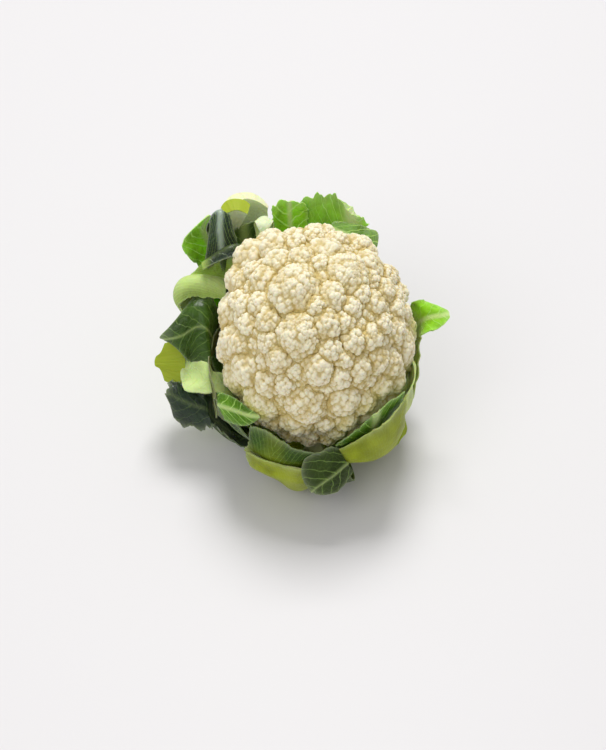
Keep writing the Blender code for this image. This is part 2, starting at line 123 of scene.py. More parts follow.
# Each leaf: its ring, the azimuths at the ring's points, the path beyond them as (radius, height, azimuth),
# and the half-widths to its left and right, as seen from outside, at all of these. Then come the rows of the
# free blade, from base to tip and each from the left edge to the right one. Then come the thickness over the
# rib at the base and at the end, the rib's half-width, the kind of end, how far its edges ruffle, how deep
# their teeth are, and its finish.
LEAVES = (
    dict(name="leaf_front", ring=0, azimuths=(-112, -109, -104, -101),
         beyond=((80, 44, -100), (84, 55, -100)),
         left=(8, 13, 24, 33, 39, 38), right=(8, 11, 14, 17, 19, 17), blade=(),
         rib=(8, 2), rib_width=10, end="torn", ruffle=0.6, teeth=0.8, finish="front_base"),
    dict(name="leaf_front_flap", ring=0, azimuths=(-62, -67, -74, -78), beyond=(),
         left=(8, 11, 8, 8), right=(8, 12, 14, 10), blade=(
             span((82, 47, -72), (84, 56, -75), (79, 66, -79)),
             span((85, 40, -76), (88, 52, -82), (81, 67, -88)),
             span((85, 31, -81), (88, 43, -89), (84, 60, -98)),
             span((83, 28, -85), (86, 36, -92), (85, 49, -100))),
         rib=(6, 1.6), rib_width=1.0, end="round", ruffle=1.6, teeth=2.2, finish="flap"),
    dict(name="leaf_right_low", ring=0, azimuths=(-12, -12, -11), beyond=((67, 24, -10),),
         left=(8, 11, 18, 16), right=(8, 12, 20, 16), blade=(),
         rib=(8, 4), rib_width=8, end="cut", ruffle=0, teeth=0.5, finish="front_base"),
    dict(name="leaf_back_right_low", ring=0, azimuths=(38, 38, 37, 36), beyond=((84, 56, 36),),
         left=(8, 11, 18, 26, 22), right=(8, 12, 20, 26, 22), blade=(),
         rib=(8, 3), rib_width=7, end="torn", ruffle=0.6, teeth=1.2, finish="dark"),
    dict(name="leaf_back", ring=0, azimuths=(90, 94, 99, 103), beyond=((92, 76, 110), (98, 108, 117)),
         left=(8, 12, 18, 20, 17, 15), right=(8, 12, 18, 20, 17, 15), blade=(
             span((100, 128, 111), (103, 129, 115), (104, 129, 120), (103, 128, 125), (100, 126, 130)),
             span((99, 136, 111), (103, 141, 115), (106, 144, 120), (104, 142, 125), (100, 138, 130))),
         rib=(8, 13), rib_width=15, end="cut", ruffle=0, teeth=0.2, finish="pale_stalk"),
    dict(name="leaf_back_left_outer", ring=0, azimuths=(138, 138, 137, 136), beyond=((97, 72, 136),),
         left=(8, 12, 18, 20, 16), right=(8, 12, 18, 20, 16), blade=(
             span((101, 104, 129), (105, 104, 136), (107, 102, 143)),
             span((104, 123, 130), (108, 122, 138), (113, 119, 148)),
             span((106, 136, 131), (109, 135, 140), (115, 132, 150)),
             span((107, 145, 133), (108, 144, 136), (110, 142, 141))),
         rib=(8, 1.6), rib_width=2.5, end="round", ruffle=4.0, teeth=8.0, finish="bright"),
    dict(name="leaf_left_drooping", ring=0, azimuths=(-168, -169, -169, -169), beyond=(),
         left=(8, 11, 14, 12), right=(8, 10, 10, 10), blade=(
             ((-79, 3, 50), (-80, -4, 46), (-80, -10, 40), (-78, -14, 32)),
             ((-90, 4, 56), (-91, -3, 52), (-91, -9, 42), (-89, -11, 29)),
             ((-101, 5, 60), (-102, -2, 58), (-103, -6, 47), (-103, -6, 33)),
             ((-111, 5, 63), (-112, 1, 62), (-112, -2, 56), (-109, -3, 47))),
         rib=(8, 3), rib_width=1.6, end="torn", ruffle=4.5, teeth=8.0, finish="waxy"),
    dict(name="leaf_front_left", ring=1, azimuths=(-128, -124, -118, -114), beyond=(),
         left=(7.5, 12, 20, 25), right=(7.5, 12, 20, 27), blade=(
             span((79, 58, -127), (80, 57, -122), (81, 56, -112), (81, 55, -102), (80, 57, -90)),
             span((78, 74, -126), (79, 78, -121), (79, 75, -110), (80, 69, -100), (81, 65, -87))),
         rib=(6, 1.5), rib_width=8, end="torn", ruffle=1.5, teeth=2.5, finish="veined_base"),
    dict(name="leaf_right_blade", ring=1, azimuths=(2, 6, 11, 14), beyond=((77, 66, 18), (78, 84, 18)),
         left=(7.5, 12, 16, 18, 16, 12), right=(7.5, 12, 18, 22, 20, 14), blade=(
             ((80, 14, 100), (80, 27, 103), (73, 42, 107)),
             ((91, 14, 105), (91, 24, 109), (85, 36, 113)),
             ((95, 17, 107), (99, 25, 110), (93, 33, 113))),
         rib=(6, 1.5), rib_width=2, end="round", ruffle=3.0, teeth=5.0, finish="pale_bright"),
    dict(name="leaf_back_right", ring=1, azimuths=(50, 56, 64, 70), beyond=((88, 72, 73),),
         left=(7.5, 12, 16, 14, 12), right=(7.5, 12, 16, 18, 18), blade=(
             span((96, 100, 67), (94, 101, 70), (93, 102, 74), (97, 101, 84), (97, 101, 94)),
             span((100, 116, 66), (96, 118, 69), (94, 119, 73), (100, 120, 84), (101, 120, 96)),
             span((102, 124, 67), (99, 130, 69), (97, 134, 74), (102, 147, 84), (103, 139, 97))),
         rib=(6, 11), rib_width=7, end="torn", ruffle=2.5, teeth=5.0, finish="bright_stalk"),
    dict(name="leaf_back_left_rib", ring=1, azimuths=(98, 104, 111, 116),
         beyond=((87, 84, 121), (93, 106, 126)),
         left=(7.5, 12, 14, 12, 9, 8), right=(7.5, 12, 14, 12, 9, 8), blade=(
             ((-57, 97, 126), (-62, 97, 125), (-68, 94, 124)),
             ((-53, 98, 137), (-60, 98, 135), (-67, 94, 136)),
             ((-50, 97, 144), (-58, 98, 147), (-67, 95, 146))),
         rib=(7, 13), rib_width=14, end="cut", ruffle=0, teeth=0.1, finish="cut_white"),
    dict(name="leaf_left_arched", ring=1, azimuths=(148, 149, 150, 152), beyond=((86, 72, 153),),
         left=(7.5, 12, 13, 12, 12), right=(7.5, 12, 13, 12, 10), blade=(
             ((-82, 62, 84), (-86, 56, 86), (-89, 50, 86), (-90, 46, 85), (-90, 42, 83)),
             ((-92, 64, 103), (-96, 59, 103), (-99, 53, 102), (-100, 49, 100), (-99, 45, 97)),
             ((-90, 69, 112), (-93, 62, 109), (-97, 56, 110), (-98, 51, 108), (-96, 47, 104)),
             ((-78, 79, 115), (-82, 68, 105), (-87, 59, 111), (-87, 53, 109), (-86, 49, 104)),
             ((-66, 83, 113), (-69, 70, 102), (-74, 60, 108), (-75, 54, 106), (-74, 50, 102)),
             ((-58, 86, 111), (-61, 72, 101), (-66, 60, 104), (-67, 55, 102), (-67, 51, 99))),
         rib=(6, 5), rib_width=9, end="torn", ruffle=0.8, teeth=2.0, finish="striped_stalk"),
    dict(name="leaf_left_cut", ring=1, azimuths=(-178, 178, 175, 174), beyond=((86, 54, 174),),
         left=(7.5, 11, 13, 12, 12), right=(7.5, 11, 13, 12, 12), blade=(
             ((-98, 40, 66), (-95, 34, 62), (-94, 28, 56), (-95, 22, 50), (-98, 17, 43)),
             ((-100, 29, 82), (-97, 23, 76), (-96, 16, 69), (-97, 10, 62), (-101, 4, 55))),
         rib=(6, 23), rib_width=22, end="cut", ruffle=0, teeth=0.1, finish="cut_stalk"),
    dict(name="leaf_front_right", ring=2, azimuths=(-62, -60, -57, -56), beyond=(),
         left=(7, 12, 20, 24), right=(7, 12, 19, 24), blade=(
             span((78, 52, -81), (80, 51, -65), (81, 51, -56), (81, 52, -47), (79, 54, -39)),
             span((80, 60, -81), (83, 64, -65), (85, 67, -56), (85, 70, -47), (82, 73, -39)),
             span((79, 64, -82), (81, 75, -66), (83, 82, -57), (84, 87, -49), (83, 92, -41))),
         rib=(6, 2), rib_width=14, end="torn", ruffle=1.6, teeth=2.5, finish="olive_base"),
    dict(name="leaf_left_front_low", ring=2, azimuths=(-150, -150, -150, -149), beyond=((77, 66, -149),),
         left=(7, 11, 15, 18, 16), right=(7, 11, 15, 20, 18), blade=(),
         rib=(5, 2), rib_width=4, end="torn", ruffle=1.5, teeth=2.5, finish="dark"),
    dict(name="leaf_left", ring=2, azimuths=(168, 167, 166, 165), beyond=((78, 70, 163),),
         left=(7, 11, 15, 16, 14), right=(7, 11, 15, 15, 13), blade=(
             ((-73, 50, 97), (-77, 37, 96), (-79, 29, 90), (-78, 22, 80), (-78, 14, 68)),
             ((-86, 52, 104), (-88, 39, 102), (-87, 30, 92), (-88, 22, 79), (-88, 15, 67)),
             ((-99, 39, 99), (-100, 31, 96), (-99, 24, 88), (-97, 20, 80), (-96, 16, 74)),
             ((-112, 27, 89), (-116, 24, 87), (-113, 22, 86), (-110, 22, 85), (-108, 22, 84))),
         rib=(5, 2), rib_width=1.0, end="round", ruffle=2.0, teeth=5.0, finish="dark"),
    dict(name="leaf_back_left_folded", ring=2, azimuths=(125, 126, 128, 130), beyond=((83, 84, 133),),
         left=(7, 11, 14, 15, 12), right=(7, 11, 14, 15, 13), blade=(
             span((92, 114, 132), (94, 114, 136), (92, 114, 140)),
             span((98, 142, 134), (101, 142, 139), (98, 139, 144)),
             ((-63, 86, 151), (-70, 87, 154), (-77, 80, 149)),
             ((-60, 80, 143), (-70, 76, 146), (-79, 70, 138)),
             ((-57, 76, 130), (-69, 70, 132), (-81, 64, 125)),
             ((-58, 76, 121), (-69, 71, 122), (-80, 66, 117))),
         rib=(5, 1.5), rib_width=2.5, end="torn", ruffle=0.6, teeth=1.0, finish="silvery"),
    dict(name="leaf_back_blade", ring=2, azimuths=(78, 83, 89, 94), beyond=((83, 80, 97), (90, 102, 100)),
         left=(7, 11, 15, 17, 16, 14), right=(7, 11, 15, 17, 16, 14), blade=(
             span((97, 120, 93), (98, 120, 97), (98, 120, 101), (98, 119, 105), (97, 118, 109)),
             span((99, 136, 94), (100, 138, 97), (101, 140, 101), (101, 141, 105), (100, 137, 109))),
         rib=(5, 1.5), rib_width=2.0, end="torn", ruffle=2.4, teeth=4.0, finish="bright"),
    dict(name="leaf_back_right_small", ring=2, azimuths=(40, 47, 56, 66),
         beyond=((79, 78, 76), (84, 104, 82)),
         left=(7, 11, 14, 15, 12, 8), right=(7, 11, 14, 15, 12, 8), blade=(
             ((4, 92, 130), (7, 94, 133), (12, 96, 135)),
             ((15, 82, 131), (18, 88, 135), (27, 95, 137)),
             ((27, 73, 127), (32, 81, 132), (42, 91, 135)),
             ((31, 67, 122), (40, 73, 129), (52, 88, 139)),
             ((41, 67, 121), (44, 71, 125), (49, 79, 131))),
         rib=(5, 1.5), rib_width=1.6, end="round", ruffle=2.5, teeth=4.0, finish="bright_dark"),
    dict(name="leaf_right", ring=2, azimuths=(-18, -16, -14, -12), beyond=(),
         left=(7, 11, 20, 28), right=(7, 11, 16, 18), blade=(
             span((76, 72, -38), (74, 72, -27), (71, 71, -15), (68, 70, -3), (65, 70, 8)),
             span((77, 80, -37), (76, 81, -25), (72, 79, -12), (68, 77, -2), (64, 76, 8)),
             span((79, 84, -35), (77, 86, -24), (72, 84, -11), (67, 81, -1), (63, 80, 8))),
         rib=(5, 2), rib_width=8, end="torn", ruffle=0.6, teeth=1.0, finish="pale_blade"),
    dict(name="leaf_inner_right", ring=3, azimuths=(-56, -56, -56, -56), beyond=(),
         left=(7, 12, 18, 24), right=(7, 12, 18, 24), blade=(
             span((75, 66, -77), (75, 70, -67), (76, 75, -57), (77, 80, -48), (78, 84, -41)),
             span((76, 70, -77), (76, 80, -67), (77, 90, -57), (80, 95, -48), (84, 97, -40))),
         rib=(4, 1.5), rib_width=4, end="torn", ruffle=2.5, teeth=5.0, finish="bright_dark"),
    dict(name="leaf_inner_left", ring=3, azimuths=(-150, -150, -150, -149), beyond=((75.5, 70, -146),),
         left=(5.5, 8.5, 10.5, 11.5, 10), right=(5.5, 8.5, 11, 12, 11), blade=(
             ((-70, -22, 77), (-69, -29, 71), (-65, -35, 63)),
             ((-58, -33, 83), (-57, -41, 78), (-53, -48, 70)),
             ((-48, -43, 84), (-46, -49, 81), (-43, -52, 76)),
             ((-40, -48, 83), (-39, -50, 81), (-38, -51, 79))),
         rib=(4, 1.4), rib_width=1.6, end="round", ruffle=0.8, teeth=2.0, finish="bright_dark"),
    dict(name="leaf_left_stub", ring=3, azimuths=(178, 180, -178, -176), beyond=((76, 62, -175),),
         left=(5.5, 8.5, 12, 12, 11), right=(5.5, 8.5, 11, 12, 11), blade=(
             ((-78, 14, 70), (-79, 4, 63), (-78, -6, 60)),
             ((-90, 18, 70), (-92, 6, 62), (-90, -6, 60)),
             ((-99, 18, 68), (-100, 8, 63), (-97, -3, 60))),
         rib=(4, 4), rib_width=9, end="torn", ruffle=0, teeth=1.5, finish="pale_leaf"),
    dict(name="leaf_inner_back", ring=3, azimuths=(118, 118, 118, 117), beyond=((78.5, 88, 117),),
         left=(7, 10, 12, 12, 12), right=(7, 10, 12, 12, 12), blade=(
             ((-31, 92, 120), (-37, 93, 120), (-44, 92, 120)),
             ((-31, 95, 137), (-38, 97, 139), (-45, 94, 137)),
             ((-31, 88, 141), (-38, 86, 142), (-44, 87, 141)),
             ((-35, 82, 137), (-38, 81, 136), (-41, 82, 137))),
         rib=(4, 2), rib_width=5, end="round", ruffle=0.3, teeth=0.2, finish="white_tip"),
    dict(name="leaf_inner_back_right", ring=3, azimuths=(80, 83, 87, 90), beyond=((78.5, 88, 92),),
         left=(7, 10, 14, 18, 20), right=(7, 10, 14, 18, 20), blade=(
             span((77, 108, 78), (80, 110, 87), (80, 110, 97), (80, 110, 106), (79, 108, 116)),
             span((77, 124, 78), (79, 127, 87), (79, 128, 97), (79, 127, 106), (79, 124, 116))),
         rib=(4, 2), rib_width=6, end="torn", ruffle=0.5, teeth=1.0, finish="yellow_green"),
    dict(name="leaf_back_left_curl", node="leaf_back_left_folded", blade=(
             ((-82, 66, 120), (-82, 62, 124), (-82, 58, 123)),
             ((-72, 71, 126), (-72, 66, 130), (-73, 59, 128)),
             ((-61, 77, 129), (-60, 71, 134), (-61, 62, 131)),
             ((-52, 79, 124), (-51, 74, 129), (-53, 63, 126)),
             ((-49, 77, 116), (-49, 73, 117), (-51, 67, 115))),
         rib=(2.5, 1.5), rib_width=3, end="round", ruffle=0.3, teeth=0.3, finish="waxy"),
    dict(name="leaf_back_left_shaded", node="leaf_inner_back", blade=(
             span((84, 104, 108), (87, 104, 118), (88, 104, 130), (88, 102, 140)),
             span((90, 118, 109), (93, 118, 118), (94, 118, 130), (93, 116, 140)),
             span((92, 126, 110), (95, 131, 118), (96, 131, 130), (94, 126, 140))),
         rib=(2, 1.2), rib_width=4, end="torn", ruffle=1.2, teeth=1.5, finish="dark"),
    dict(name="leaf_left_shaded", node="leaf_left_stub", blade=(
             span((76, 52, 150), (76, 50, 165), (76, 48, 180), (76, 46, 200)),
             span((77, 68, 150), (77, 66, 165), (77, 62, 180), (77, 58, 200)),
             span((78, 84, 151), (78, 80, 165), (78, 74, 180), (77, 68, 200))),
         rib=(2, 1.2), rib_width=4, end="torn", ruffle=1.5, teeth=4.0, finish="olive_shade"),
)
BLADE = 0.9          # thickness of a blade away from its rib
LEAF_GRAIN = 1.2     # spacing of the points that shape a leaf


def finish(blade, **changes):
    """How a leaf looks: the names of its colours, and how strong its parts are."""
    usual = dict(foot="base", rib="pale", foot_reach=0.3, veins=0.6, rib_strength=0.8, pale_back=0.0,
                 roughness=0.4, gloss=0.12, wax=0.0, slope=0.9, vein_width=0.05, cut="cut")
    return {**usual, "blade": blade, **changes}


LEAF_FINISHES = {
    "bright": finish("bright", foot_reach=0.2, veins=0.85, rib_strength=0.85, vein_width=0.07),
    "bright_dark": finish("middle", foot_reach=0.25, pale_back=0.1),
    "bright_stalk": finish("bright", foot_reach=0.25, veins=0.75, rib_strength=0.95, pale_back=0.1),
    "dark": finish("dark", foot_reach=0.15, veins=0.15, rib_strength=0.4, roughness=0.28, gloss=0.25),
    "flap": finish("flap", foot_reach=0.1, veins=0.2, rib_strength=0.4),
    "waxy": finish("waxy", foot_reach=0.1, veins=0.06, rib_strength=0.12, roughness=0.3, gloss=0.35),
    # the folded leaf gets a painted highlight: a pale sheen streak along its rib
    "silvery": finish("waxy", foot_reach=0.4, rib="sheen_highlight", veins=0.3, rib_strength=0.75, roughness=0.3,
                      gloss=0.3, wax=0.1, slope=3.0),
    "front_base": finish("olive", foot="olive", rib="olive_light", foot_reach=0.5, veins=0.15,
                         rib_strength=0.3, slope=4.0),
    "veined_base": finish("dark", foot="olive", rib="olive", foot_reach=0.75, veins=0.25, rib_strength=0.3,
                          slope=2.5),
    "olive_base": finish("olive", foot="olive", rib="olive_light", foot_reach=0.5, veins=0.15,
                         rib_strength=0.25, slope=4.0),
    "olive_shade": finish("shade", foot="shade", rib="olive", veins=0.2, rib_strength=0.2),
    "pale_blade": finish("pale_blade", veins=0.2, rib_strength=0.4, pale_back=0.2),
    "pale_bright": finish("bright", foot="pale_blade", foot_reach=0.78, veins=0.35),
    "pale_stalk": finish("rim", foot="pale", rib="rim", foot_reach=0.4, veins=0.05, rib_strength=0.35,
                         pale_back=0.5, cut="cut_cream"),
    "pale_leaf": finish("pale", foot_reach=0.4, veins=0.1, rib_strength=0.35, pale_back=0.2),
    "cut_white": finish("rim", foot="pale", rib="rim", foot_reach=0.4, veins=0.0, rib_strength=0.6),
    "cut_stalk": finish("back", rib="rim", foot_reach=0.4, veins=0.05, rib_strength=0.6, pale_back=0.5),
    "striped_stalk": finish("base", rib_strength=0.7, pale_back=0.7, slope=6.0, vein_width=0.09),
    "white_tip": finish("rim", rib="rim", foot_reach=0.55, veins=0.0, rib_strength=0.6, pale_back=0.8),
    "yellow_green": finish("yellow", rib="yellow", veins=0.1, rib_strength=0.3, pale_back=0.2),
}


# ---- the stage: each light's place, turn in degrees, width and power ----
LIGHTS = (
    ("key_light", (0.1, 2.1, 3.75), (-30, 1.5, 0), 1.6, 120.0),
    ("fill_light", (-1.4, -1.8, 2.4), (38, -32, 0), 2.2, 30.0),
)
CAMERA_PLACE = (-0.009, -0.752, 0.824)


# ---------------------------------------------------------------- settings


def size(name, description, default, low, high):
    return bpy.props.FloatProperty(
        name=name, description=description, default=default, min=low, max=high, subtype="DISTANCE",
        unit="LENGTH",
    )


def share(name, description, default):
    return bpy.props.FloatProperty(
        name=name, description=description, default=default, min=0.0, max=1.0, subtype="FACTOR"
    )


def colour(name, description, default):
    return bpy.props.FloatVectorProperty(
        name=name, description=description, default=default, size=3, min=0.0, max=1.0, subtype="COLOR"
    )


class CurdSettings(bpy.types.PropertyGroup):
    bud: size("Bud radius", "Radius of the small clusters on a floret", 0.0027, 0.001, 0.01)
    grain: size("Grain radius", "Radius of the single buds of the curd", 0.0014, 0.0004, 0.004)
    relief: share("Relief", "How deep the creases between buds are", 0.8)
    flesh: colour("Flesh", "Colour of the curd where it faces out", (0.88, 0.82, 0.61))
    # painted shade: the darker tan that the curd is given down in its creases
    crease: colour("Crease", "Colour of the curd down in its creases", (0.60, 0.46, 0.16))
    # painted shade: the darker green of the curd close to the leaves; on the stalk below it is partly the
    # stalk's own green
    green: colour("Green flush", "Colour of the curd where leaves lie on it", (0.50, 0.48, 0.10))


class LeafSettings(bpy.types.PropertyGroup):
    bright: colour("Young blade", "Colour of the bright blades", (0.28, 0.60, 0.02))
    middle: colour("Middle blade", "Colour of the blades between bright and dark", (0.10, 0.24, 0.010))
    dark: colour("Old blade", "Colour of the dark blades", (0.04, 0.09, 0.008))
    flap: colour("Front flap", "Colour of the dark flap at the front", (0.035, 0.06, 0.010))
    waxy: colour("Waxy blade", "Colour of the bluish outer blades", (0.014, 0.034, 0.014))
    shade: colour("Shaded leaf", "Colour of the small leaves deep beside the curd", (0.10, 0.10, 0.025))
    olive: colour("Olive base", "Colour of the yellowish bases at the front", (0.28, 0.33, 0.015))
    olive_light: colour("Light olive", "Colour of the streaks on the yellowish bases", (0.38, 0.42, 0.10))
    yellow: colour("Yellow leaf", "Colour of the yellowed leaf behind the curd", (0.45, 0.46, 0.10))
    base: colour("Leaf base", "Colour of the wide bases around the stem", (0.34, 0.48, 0.08))
    pale_blade: colour("Pale blade", "Colour of the pale leaf on the right", (0.46, 0.54, 0.15))
    # painted highlight: the pale sheen streak along the folded leaf's rib
    sheen_highlight: colour("Silvery bloom", "Colour of the waxy bloom on the folded leaf", (0.42, 0.52, 0.42))
    pale: colour("Rib", "Colour of the thick ribs", (0.58, 0.72, 0.28))
    back: colour("Back", "Colour of a leaf's outer face", (0.46, 0.60, 0.22))
    rim: colour("Rim", "Colour of the thin pale rim of a leaf", (0.70, 0.78, 0.50))
    vein: colour("Vein", "Colour of the veins", (0.54, 0.82, 0.20))
    cut: colour("Cut face", "Colour of the yellow-green cut ribs", (0.36, 0.44, 0.03))
    cut_cream: colour("Cream cut face", "Colour of the cream cut rib at the back", (0.78, 0.80, 0.48))
    vein_spacing: size("Vein spacing", "Distance between two side veins", 0.009, 0.002, 0.05)


class StemSettings(bpy.types.PropertyGroup):
    skin: colour("Skin", "Colour of the stem's side", (0.50, 0.56, 0.24))
    heart: colour("Heart", "Colour of the stem's cut face", (0.75, 0.74, 0.50))


class StageSettings(bpy.types.PropertyGroup):
    floor: colour("Floor", "Colour of the floor", (0.71, 0.695, 0.70))
    lens: bpy.props.FloatProperty(
        name="Lens", description="Focal length of the camera, in millimetres", default=70.0, min=10.0,
        max=300.0,
    )
    elevation: bpy.props.FloatProperty(
        name="Elevation", description="How high the camera looks down from", default=math.radians(45),
        min=0.0, max=math.radians(90), subtype="ANGLE", unit="ROTATION",
    )


# ---------------------------------------------------------------- modelling helpers


def add_primitive(name, add, **sizes):
    """Adds a primitive with nothing else selected, and names it."""
    bpy.ops.object.select_all(action="DESELECT")
    add(**sizes)
    piece = bpy.context.active_object
    piece.name = piece.data.name = name
    return piece


def read_points(mesh):
    points = np.empty(len(mesh.vertices) * 3)
    mesh.vertices.foreach_get("co", points)
    return points.reshape(-1, 3)


def write_points(mesh, points):
    """Puts a mesh's points where these millimetres say, with the plant's lean."""
    points = np.array(points, float)
    points[:, 1] += LEAN * points[:, 2]
    mesh.vertices.foreach_set("co", (points * MM).ravel())
    mesh.update()


def store(mesh, name, values):
    """A number for each point, which the materials read."""
    attribute = mesh.attributes.get(name) or mesh.attributes.new(name, "FLOAT", "POINT")
    attribute.data.foreach_set("value", np.ascontiguousarray(values, np.float32))


def apply_modifier(piece, name):
    bpy.ops.object.select_all(action="DESELECT")
    bpy.context.view_layer.objects.active = piece
    piece.select_set(True)
    bpy.ops.object.modifier_apply(modifier=name)


def hand_over(piece, node, material):
    """Gives a piece its material and its place in the frame."""
    piece.data.materials.clear()
    piece.data.materials.append(material)
    piece.data.shade_smooth()
    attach(piece, "root")
    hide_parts(node)


def spiral(count):
    """count directions spread evenly over a ball."""
    i = np.arange(count)
    z = 1.0 - 2.0 * (i + 0.5) / count
    ring = np.sqrt(1.0 - z * z)
    return np.stack([ring * np.cos(i * GOLDEN_ANGLE), ring * np.sin(i * GOLDEN_ANGLE), z], 1)


def unit(vectors):
    return vectors / np.linalg.norm(vectors, axis=-1, keepdims=True)


def smoothstep(low, high, x):
    t = np.clip((x - low) / (high - low), 0.0, 1.0)
    return t * t * (3.0 - 2.0 * t)


def either(a, b):
    """Two masks as one, which is 1 where either of them is."""
    return 1.0 - (1.0 - a) * (1.0 - b)


def wander(x, seed, octaves=3):
    """Smooth one-dimensional noise between about -1 and 1."""
    rng = np.random.default_rng(seed)
    total = np.zeros_like(x, float)
    for octave in range(octaves):
        knots = rng.uniform(-1.0, 1.0, 256)
        place = x * 2**octave + 17.3 * octave
        low = np.floor(place).astype(int)
        f = place - low
        f = f * f * (3.0 - 2.0 * f)
        total += (knots[low % 256] * (1 - f) + knots[(low + 1) % 256] * f) / 1.8**octave
    return total / 1.6


# ---------------------------------------------------------------- the curd


def floret_layout():
    """Directions, radii and extra heights: the placed florets, then fillers where the head is bare."""
    placed = [(*floret, PROUD_WITH_SIZE * (floret[2] - TYPICAL_FLORET)) for floret in FLORETS]
    placed += PROUD_FLORETS
    directions, radii, proud = [], [], []
    for longitude, latitude, radius, height in placed:
        lon, lat = math.radians(longitude), math.radians(latitude)
        flat = math.cos(lat)
        directions.append(np.array([flat * math.cos(lon), flat * math.sin(lon), math.sin(lat)]))
        radii.append(float(radius))
        proud.append(float(height))
    for floret in FILLER_SIZES:
        for trial in spiral(FILLER_TRIALS):
            if trial[2] < math.sin(math.radians(LOWEST_FLORET)):
                break
            gaps = np.degrees(np.arccos(np.clip(np.array(directions) @ trial, -1.0, 1.0)))
            needed = np.degrees((np.array(radii) + floret) / CURD_RADIUS) * FILLER_SPACING
            if (gaps > needed).all():
                directions.append(trial)
                radii.append(floret)
                proud.append(0.0)
    for floret in CLOSER_SIZES:
        for trial in spiral(3 * FILLER_TRIALS):
            if trial[2] < math.sin(math.radians(LOWEST_FLORET)):
                break
            gaps = np.degrees(np.arccos(np.clip(np.array(directions) @ trial, -1.0, 1.0)))
            clear = np.degrees(floret / CURD_RADIUS) * CLOSER_CLEARANCE
            needed = np.degrees(np.array(radii) / CURD_RADIUS) + clear
            if (gaps > needed).all():
                directions.append(trial)
                radii.append(floret)
                proud.append(-CLOSER_DEPTH)
    return np.array(directions), np.array(radii), np.array(proud)


def ball_union(rays, centres, radii):
    """How far each ray from the origin goes before it leaves the last ball that it meets."""
    along = rays @ centres.T
    room = along**2 - ((centres**2).sum(1) - radii**2)
    return np.where(room > 0, along + np.sqrt(np.maximum(room, 0.0)), 0.0).max(axis=1)


def buds(rays, axis, ball, bud, rng):
    """Relief of buds packed over the outer side of a ball: 1 on a bud's top, 0 down between them."""
    count = max(int(4.2 * (ball / bud) ** 2), 12)
    seeds = spiral(count)
    seeds = unit(seeds + rng.normal(0.0, 0.30 * bud / ball, seeds.shape))
    seeds = seeds[seeds @ axis > -0.45]
    sizes = bud * rng.uniform(0.85, 1.25, len(seeds))
    gap = 2.0 - 2.0 * (rays.astype(np.float32) @ seeds.T.astype(np.float32))
    height = sizes**2 - gap * ball**2
    return np.sqrt(np.maximum(height.max(axis=1), 0.0)) / bud


def shape_floret(points, axis, ball, rng, bud, grain, relief):
    """The reach of a floret along each ray from its middle, and how deep in a crease each point is, which
    sets its painted crease shade.
    """
    rays = unit(points)
    reach = np.full(len(rays), ball * 0.97)
    cluster = np.zeros(len(rays))
    if ball > LUMPY_BALL:
        lumps = 0.40 * ball
        count = int(3.4 * (ball / lumps) ** 2)
        seeds = unit(spiral(count) + rng.normal(0.0, 0.12, (count, 3)))
        sizes = lumps * rng.uniform(0.85, 1.15, len(seeds))
        union = ball_union(rays, seeds * (ball - sizes)[:, None], sizes)
        cluster = np.clip((ball - union) / (0.13 * ball), 0.0, 1.0)
        reach = ball * (1.0 - 0.075 * cluster)
    bud = min(bud, 0.32 * ball)
    middle = buds(rays, axis, ball, bud, rng)
    fine = buds(rays, axis, ball, grain, rng)
    reach = reach + relief * (bud * 0.62 * (middle - 0.8) + grain * 0.6 * (fine - 0.8))
    # painted shade: the deeper a point lies between lumps and buds, the darker tan it is coloured
    crease = either(0.45 * cluster**2, 0.75 * (1.0 - np.clip(middle, 0, 1)))
    crease = either(crease, 0.45 * (1.0 - np.clip(fine, 0, 1)))
    return rays * reach[:, None], crease


